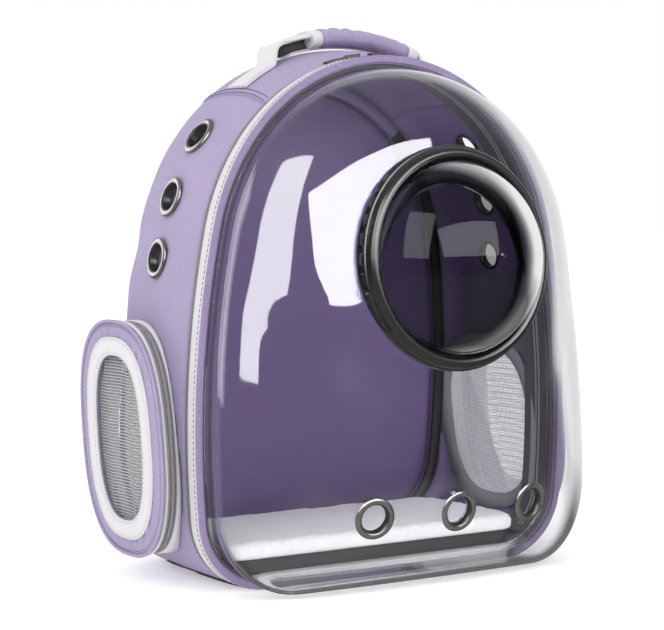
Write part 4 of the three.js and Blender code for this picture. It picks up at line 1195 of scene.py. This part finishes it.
def pouch_net(name, sign, reach):
    ribs = Build()
    z = 44.0
    while z < 161:
        path = []
        for n in range(73):
            y = POUCH_Y + POUCH_LEAN * (z - POUCH_Z) - 39 + 78 * n / 72
            if inside_oval(y, z, 76, 120):
                wave = 0.32 * math.sin(y * math.pi / 1.1)
                path.append(Vector((sign * (reach - 0.7 + net_bulge(y, z)), y, z + wave)))
        if len(path) > 3:
            ribs.add(tube(path, 0.46, 5, False, 0.8, Vector((1, 0, 0))))
        z += 2.2
    y = POUCH_Y - 39
    while y < POUCH_Y + 39:
        path = []
        for n in range(61):
            z = POUCH_Z - 60 + 120 * n / 60
            at = y + POUCH_LEAN * (z - POUCH_Z)
            if inside_oval(at, z, 76, 120):
                path.append(Vector((sign * (reach - 1.0 + net_bulge(at, z)), at, z)))
        if len(path) > 3:
            ribs.add(tube(path, 0.2, 4, False, 1, Vector((1, 0, 0))))
        y += 2.2
    ribs.piece(f"{name} window net", "net", stands_for=[f"{name}_pouch_net"], slot="net", check=False)


def dress_inner_nets():
    """Fine net sewn over the inside of each side wall, with its tape border."""
    for name, sign in SIDES.items():
        yarn = Build()

        def wall(y, z, off=0.0):
            return Vector((sign * (side_reach(y, z) - WALL - 1.0 - off), y, z))

        def lay(path):
            """One yarn of the net on the wall, left out where the window mesh lies."""
            run = []
            for point in path + [None]:
                if point and not in_window(point.y, point.z):
                    run.append(point)
                    continue
                if len(run) > 2:
                    yarn.add(tube(run, 0.3, 4, False, 0.5, Vector((1, 0, 0))))
                run = []

        step = 2.1
        z = 34.0
        while z < 214:
            lay([wall(y, z) for y in (22 + 2 * n for n in range(52)) if y < back_depth(z) - 26])
            z += step
        y = 22.0
        while y < 124:
            top = 214 if y < back_depth(214) - 26 else 120
            lay([wall(y, z, 0.1) for z in (34 + 3 * n for n in range(61)) if z < top])
            y += step
        yarn.piece(f"{name} inner net", "inner net", slot="net", check=False)
        places = [[(26 + 2 * n, 33 + 2.5 * k) for n in range(51)] for k in range(51)]
        rows = [[wall(y, z, 0.9 * mesh_fold(y, z)) for y, z in row] for row in places]
        sheet = Build().grid(rows)
        keep = [n for n, face in enumerate(sheet.faces) if in_window(*sheet.points[face[0]].yz)]
        sheet.faces, sheet.runs = ([line[n] for n in keep] for line in (sheet.faces, sheet.runs))
        sheet.slots = [0] * len(keep)
        sheet.piece(f"{name} window mesh", "window mesh", slot="net")
        rows = [[] for _ in range(160)]
        for length, height, off in ((91, 115, 1.5), (92, 116, 2.1), (112, 136, 2.1), (113, 137, 0.7)):
            for i, (y, z) in enumerate(oval(length, height, WINDOW_Z, 160)):
                rows[i].append(wall(y, z, off))
        border = Build().grid(rows, wrap=True, ring=True)
        border.piece(f"{name} inner net border", "net border", slot="board_cover")


# Handle

HANDLE_Y = 62


def arc_height(x):
    return 377 + 11 * (1 - (x / 60) ** 2)


def handle_path(sign):
    """The webbing from its foot at the seam up to the grip."""
    points = []
    for x in (89.5, 82, 74, 68):
        points.append(Vector((sign * x, HANDLE_Y, top_height(x, HANDLE_Y) + 1.7)))
    rise = ((65.2, 364.5), (64.3, 368.5), (64, 374), (62.5, 378.6), (58.5, 380.6), (50, arc_height(50)))
    return points + [Vector((sign * x, HANDLE_Y, z)) for x, z in rise]


def webbing_section(centre, along, fold, width=25, thickness=2.0, sides=12):
    """Cross section of webbing, flat where fold is 0 and a tunnel open downwards where it is 1."""
    across = Vector((0, 1, 0))
    up = across.cross(along).normalized()
    up = up if up.z > 0 or abs(up.z) < 0.3 and up.x * centre.x > 0 else -up
    tip = 0.95 * fold
    up, across = up * math.cos(tip) + across * math.sin(tip), across * math.cos(tip) - up * math.sin(tip)
    outer, inner = [], []
    turn = max(fold, 0.001) * math.radians(215)
    radius = width / turn
    for k in range(sides + 1):
        a = turn * (k / sides - 0.5)
        for line, r in ((outer, radius), (inner, radius - thickness)):
            line.append(centre + across * (r * math.sin(a)) + up * (r * math.cos(a) - radius + thickness / 2))
    return outer + inner[::-1]


def dress_handle():
    left = handle_path(-1)
    middle = [Vector((x, HANDLE_Y, arc_height(x))) for x in range(-46, 50, 4)]
    path = spaced(left + middle + handle_path(1)[::-1], 150)
    for _ in range(3):
        path = [path[0]] + [(a + b * 2 + c) / 4 for a, b, c in zip(path, path[1:], path[2:])] + [path[-1]]
    rows = []
    for i, point in enumerate(path):
        along = (path[min(i + 1, len(path) - 1)] - path[max(i - 1, 0)]).normalized()
        fold = smooth_step(62, 47, abs(point.x)) if point.z > 374 else 0
        lift = 1.9 * fold
        rows.append(webbing_section(point + Vector((0, 0, lift)), along, fold))
    strap = Build().grid(rows, ring=True, caps=True)
    # Painted shade: the inside of the curled webbing takes the dark grey board cloth where the fold lies in shade.
    for n in range(len(rows) * 26 - 26):
        if 13 <= n % 26 < 25 and abs(path[n // 26].x) < 60:
            strap.slots[n] = 1
    strap.piece("handle webbing", "webbing", "board", sharp=50, stands_for=["handle_webbing"], slot="webbing")
    boxes = Build()
    for sign in (-1, 1):
        foot = [p for p in path if p.x * sign > 66][::2]
        outs = [Vector((sign * 0.5, 0, 0.86))] * len(foot)
        for y in (-10.6, 10.6):
            stitch_run(boxes, [p + Vector((0, y, 1.2)) for p in foot], outs, 2.4, 0.9, 0.3)
    boxes.piece("handle foot stitches", "pale thread", slot="webbing", check=False)

    def padded_tube(first, last, width, height, wrinkle, ends, steps, sides=40):
        rows = []
        for i in range(steps + 1):
            t = i / steps
            x = first + (last - first) * t
            slope = math.atan2(-22 * x / 3600, 1)
            close = 1 - ends * max(1 - t * steps / 4, 0, 1 - (1 - t) * steps / 4) ** 2
            row = []
            for k in range(sides):
                a = 2 * math.pi * k / sides
                power = 2 / 2.4
                c, s = (math.copysign(abs(v) ** power, v) for v in (math.cos(a), math.sin(a)))
                crease = 0
                if wrinkle:
                    bands = math.sin(x * 0.62 + 2.2 * math.sin(a) + 1.5 * math.cos(a * 2))
                    near = math.exp(-((x + 4) / 16) ** 2) + 0.5 * math.exp(-((x - 46) / 9) ** 2)
                    crease = 0.75 * near * bands * max(s, 0) + 0.5 * noise.noise(Vector((x * 0.07, c * 2, s * 2)))
                point = Vector((0, (width / 2 + crease) * close * c, (height / 2 + crease) * close * s))
                turn = Matrix.Rotation(-slope, 3, "Y")
                row.append(Vector((x, HANDLE_Y, arc_height(x) + 0.2)) + turn @ point)
            rows.append(row)
        return Build().grid(rows, ring=True, caps=True)

    grip = padded_tube(-24, 52, 28.6, 13.6, True, 0.14, 90)
    piece = grip.piece("handle grip", "lavender", stands_for=["handle_grip"], slot="fabric")
    for name, first in (("left", -32.3), ("right", 52.3)):
        cuff = padded_tube(first, first + 8, 28, 13.4, False, 0.05, 10)
        cuff.piece(f"handle cuff {name}", "webbing", sharp=50, stands_for=[f"handle_cuff_{name}"], slot="webbing")


# Shoulder straps

def strap_place(sign, z, thickness):
    bow = math.sin(math.pi * (318 - z) / 276)
    y = back_depth(z) + 2.9 + thickness / 2 + 22 * max(bow, 0) ** 0.8
    return Vector((sign * (52 + 38 * (318 - z) / 276), y, z))


def flat_strap(path, width, thickness, edge=0.35):
    """A strap along a path in the side plane, with rounded edges."""
    rows = []
    for i, point in enumerate(path):
        along = (path[min(i + 1, len(path) - 1)] - path[max(i - 1, 0)]).normalized()
        out = Vector((1, 0, 0)).cross(along).normalized()
        across = along.cross(out).normalized()
        w, t = width / 2, thickness / 2
        row = []
        for c, s in rounded([(-w, -t), (w, -t), (w, t), (-w, t)], t * 2 * edge, 3):
            row.append(point + across * c + out * s)
        rows.append(row)
    return Build().grid(rows, ring=True, caps=True)


def pad_half(t):
    """Half width of a shoulder pad along its length, which narrows to the adjuster."""
    return 27.6 * (1 - 0.42 * smooth_step(0.82, 1, t))


def dress_straps():
    for name, sign in SIDES.items():
        path = [strap_place(sign, 318 - 200 * n / 60, 9) for n in range(61)]
        rows = []
        for i, point in enumerate(path):
            along = (path[min(i + 1, 60)] - path[max(i - 1, 0)]).normalized()
            out = Vector((1, 0, 0)).cross(along).normalized()
            out = out if out.y > 0 else -out
            across = Vector((1, 0, 0)) - along * along.x
            across.normalize()
            half = pad_half(i / 60) * (0.9 + 0.1 * smooth_step(0, 0.06, i / 60))
            row = []
            for k in range(28):
                a = 2 * math.pi * k / 28
                c, s = (math.copysign(abs(v) ** (2 / 3.4), v) for v in (math.cos(a), math.sin(a)))
                seam = 1 - 0.5 * math.exp(-((abs(c) - 0.82) / 0.05) ** 2)
                ends = min(1, i / 3 + 0.3, (60 - i) / 3 + 0.35)
                row.append(point + across * half * c + out * 4.4 * s * seam * ends)
            rows.append(row)
        pad = Build().grid(rows, ring=True, caps=True)
        piece = pad.piece(f"{name} shoulder pad", "lavender", stands_for=[f"{name}_strap_pad"], slot="fabric")
        threads = Build()
        for edge in (-1, 1):
            line, outs = [], []
            for i in range(2, 58):
                along = (path[i + 1] - path[i - 1]).normalized()
                out = Vector((1, 0, 0)).cross(along).normalized()
                out = out if out.y > 0 else -out
                half = pad_half(i / 60) * 0.82
                line.append(path[i] + Vector((edge * half, 0, 0)) + out * 2.5)
                outs.append(out)
            stitch_run(threads, line, outs, 3, 1, 0.34)
        threads.piece(f"{name} shoulder pad stitches", "pale thread", slot="webbing", check=False)
        ladder_lock(name, sign)
        tail = [strap_place(sign, 91.4 - 49.4 * n / 24, 2.2) for n in range(25)]
        webbing = flat_strap(tail, 25, 2.1)
        webbing.piece(
            f"{name} strap webbing", "webbing", sharp=50, stands_for=[f"{name}_strap_tail"], slot="webbing",
        )


def ladder_lock(name, sign):
    """The moulded strap adjuster: a frame with two slots and a raised grip bar."""
    top, low = strap_place(sign, 117.7, 9), strap_place(sign, 91.7, 9)
    along = (low - top).normalized()
    across = Vector((1, 0, 0)) - along * along.x
    across.normalize()
    out = across.cross(along).normalized()
    out = out if out.y > 0 else -out
    length = (low - top).length
    block = Build()
    outline = rounded([(-18, 0), (18, 0), (17, length), (-17, length)], 3, 5)
    rows = []
    for height, inset in ((-2.5, 0.7), (-1.9, 0), (1.9, 0), (2.5, 0.7)):
        row = []
        for c, s in outline:
            c, s = c * (1 - inset / 18), s + (0.5 - s / length) * 2 * inset
            row.append(top + across * c + along * s + out * height)
        rows.append(row)
    block.grid(rows, ring=True, caps=True)
    piece = block.piece(
        f"{name} strap adjuster", "buckle", sharp=40, stands_for=[f"{name}_strap_buckle"], slot="black_plastic",
    )
    plugs = Build()
    for start, end in ((3.4, 8.2), (15.4, 21.6)):
        slot = rounded([(-13.4, start), (13.4, start), (13.4, end), (-13.4, end)], 1.2, 3)
        rows = [[top + across * c + along * s + out * h for c, s in slot] for h in (-6, 6)]
        plugs.grid(rows, ring=True, caps=True)
    cut_through(piece, plugs)
    bar = [top + across * x + along * 11.6 + out * (1.5 - 0.0004 * x * x) for x in range(-15, 16, 3)]
    tube(bar, 2.0, 12, False, 0.7, out).piece(f"{name} adjuster bar", "buckle", slot="black_plastic")


def dress_sliders():
    for name in ("left", "right"):
        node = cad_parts[f"zip_slider_{name}"]
        node.data.materials.clear()
        node.data.materials.append(FINISHES["buckle"])
        soften = node.modifiers.new("soft edges", "BEVEL")
        soften.width, soften.segments, soften.limit_method = 0.0005, 3, "ANGLE"


# Studio

def softbox(name, at, target, size, power):
    light = bpy.data.lights.new(name, "AREA")
    light.shape, light.size, light.size_y = "RECTANGLE", size[0], size[1]
    light.energy = power
    lamp = bpy.data.objects.new(name, light)
    bpy.context.collection.objects.link(lamp)
    lamp.visible_camera = False
    at, target = place(at), place(target)
    lamp.matrix_world = Matrix.Translation(at) @ (target - at).to_track_quat("-Z", "Y").to_matrix().to_4x4()
    return lamp


def mirror_box(name, sweep, rise, level, away=2.2):
    """A panel seen in shiny parts alone: degrees from the front and up, as seen from the door."""
    turn, lift = (math.radians(sum(pair) / 2) for pair in (sweep, rise))
    wide, tall = (2 * away * math.tan(math.radians(b - a) / 2) for a, b in (sweep, rise))
    eye = Vector((0, -60, 200))
    way = Vector((math.sin(turn) * math.cos(lift), -math.cos(turn) * math.cos(lift), math.sin(lift)))
    lamp = softbox(name, eye + way * away * 1000, eye, (wide, tall), level * 4 * wide * tall)
    lamp.visible_diffuse = False


def studio():
    """The camera of the photo, a white world, a pale floor, softboxes and what shiny parts mirror."""
    scene = bpy.context.scene
    scene.view_settings.view_transform = "Standard"
    lens = bpy.data.cameras.new("photo camera")
    lens.sensor_width, lens.lens = 36, 96.3
    camera = bpy.data.objects.new("photo camera", lens)
    bpy.context.collection.objects.link(camera)
    heading, pitch = math.radians(-33.15), math.radians(3.0)
    back = Vector((
        math.sin(heading) * math.cos(pitch), -math.cos(heading) * math.cos(pitch), math.sin(pitch),
    ))
    right = Vector((math.cos(heading), math.sin(heading), 0))
    turn = Matrix((right, back.cross(right), back)).transposed().to_4x4()
    camera.matrix_world = Matrix.Translation(place((-730, -1043, 252.8))) @ turn
    scene.camera = camera

    world = bpy.data.worlds.new("studio")
    scene.world = world
    sky = Finish("studio", world)
    rays = sky.add("ShaderNodeLightPath")
    way = sky.add("ShaderNodeSeparateXYZ", None, {0: sky.add("ShaderNodeTexCoord").out("Generated")})
    beyond = way.out("X") * 0.55 + way.out("Y") * 0.84
    high = way.out("Z")
    # Shiny parts see a bright wall behind the object, a darker floor, and a grey ceiling
    wall = beyond.over(0.45, 0.5) * (1 - high.over(0.55, 0.3)) * high.over(-0.2, 0.2)
    ground = (1 - high.over(-0.25, 0.25)) * (0.12 + (1 - beyond.over(0, 0.6)) * 0.4)
    mirrored = 0.04 + wall * 0.82 + ground + high.over(0.6, 0.3) * 0.4
    soft = 0.74 + high * 0.1 - way.out("X") * 0.1 + way.out("Y") * 0.04
    seen, gloss = rays.out("Is Camera Ray"), rays.out("Is Glossy Ray")
    level = seen + (1 - seen) * (gloss * mirrored + (1 - gloss) * soft)
    light = sky.add("ShaderNodeBackground", None, {"Color": (1, 1, 1, 1), "Strength": level})
    sky.add("ShaderNodeOutputWorld", None, {"Surface": light})

    floor = Finish("studio floor")
    paper = floor.grain(30, 3)
    floor.surface({
        "Base Color": floor.shade((0.95, 0.95, 0.955), 0.995 + (paper - 0.5) * 0.01),
        "Roughness": 0.9,
        "Specular IOR Level": 0.1,
        "Emission Color": (1, 1, 1, 1),
        "Emission Strength": 0.33,
    })
    mesh = bpy.data.meshes.new("floor")
    reach = 40
    corners = [(x * reach, y * reach, 0) for x, y in ((-1, -1), (1, -1), (1, 1), (-1, 1))]
    mesh.from_pydata(corners, [], [(0, 1, 2, 3)])
    mesh.materials.append(floor.material)
    ground = bpy.data.objects.new("floor", mesh)
    bpy.context.collection.objects.link(ground)
    ground.visible_glossy = False

    middle = (0, 40, 190)
    for lamp in (
        softbox("key", (-1300, -500, 900), middle, (0.7, 0.9), 5),
        softbox("top", (0, 100, 1300), middle, (1.2, 1.2), 2),
        softbox("front", (-200, -1200, 900), middle, (0.8, 0.8), 4),
    ):
        lamp.visible_glossy = False
    for name, sweep, rise, level in (
        ("tall strip", (-73, -45), (3, 52), 6.0),
        ("wide window", (-31, 33), (5, 40), 8.0),
        ("faint strip", (-172, -124), (-4, 32), 2.4),
    ):
        mirror_box(name, sweep, rise, level)


studio()
dress_rim()
dress_sliders()
dress_cabin()
dress_back()
dress_floor()
dress_door()
dress_eyelets()
dress_bubble()
dress_pouches()
dress_inner_nets()
dress_handle()
dress_straps()
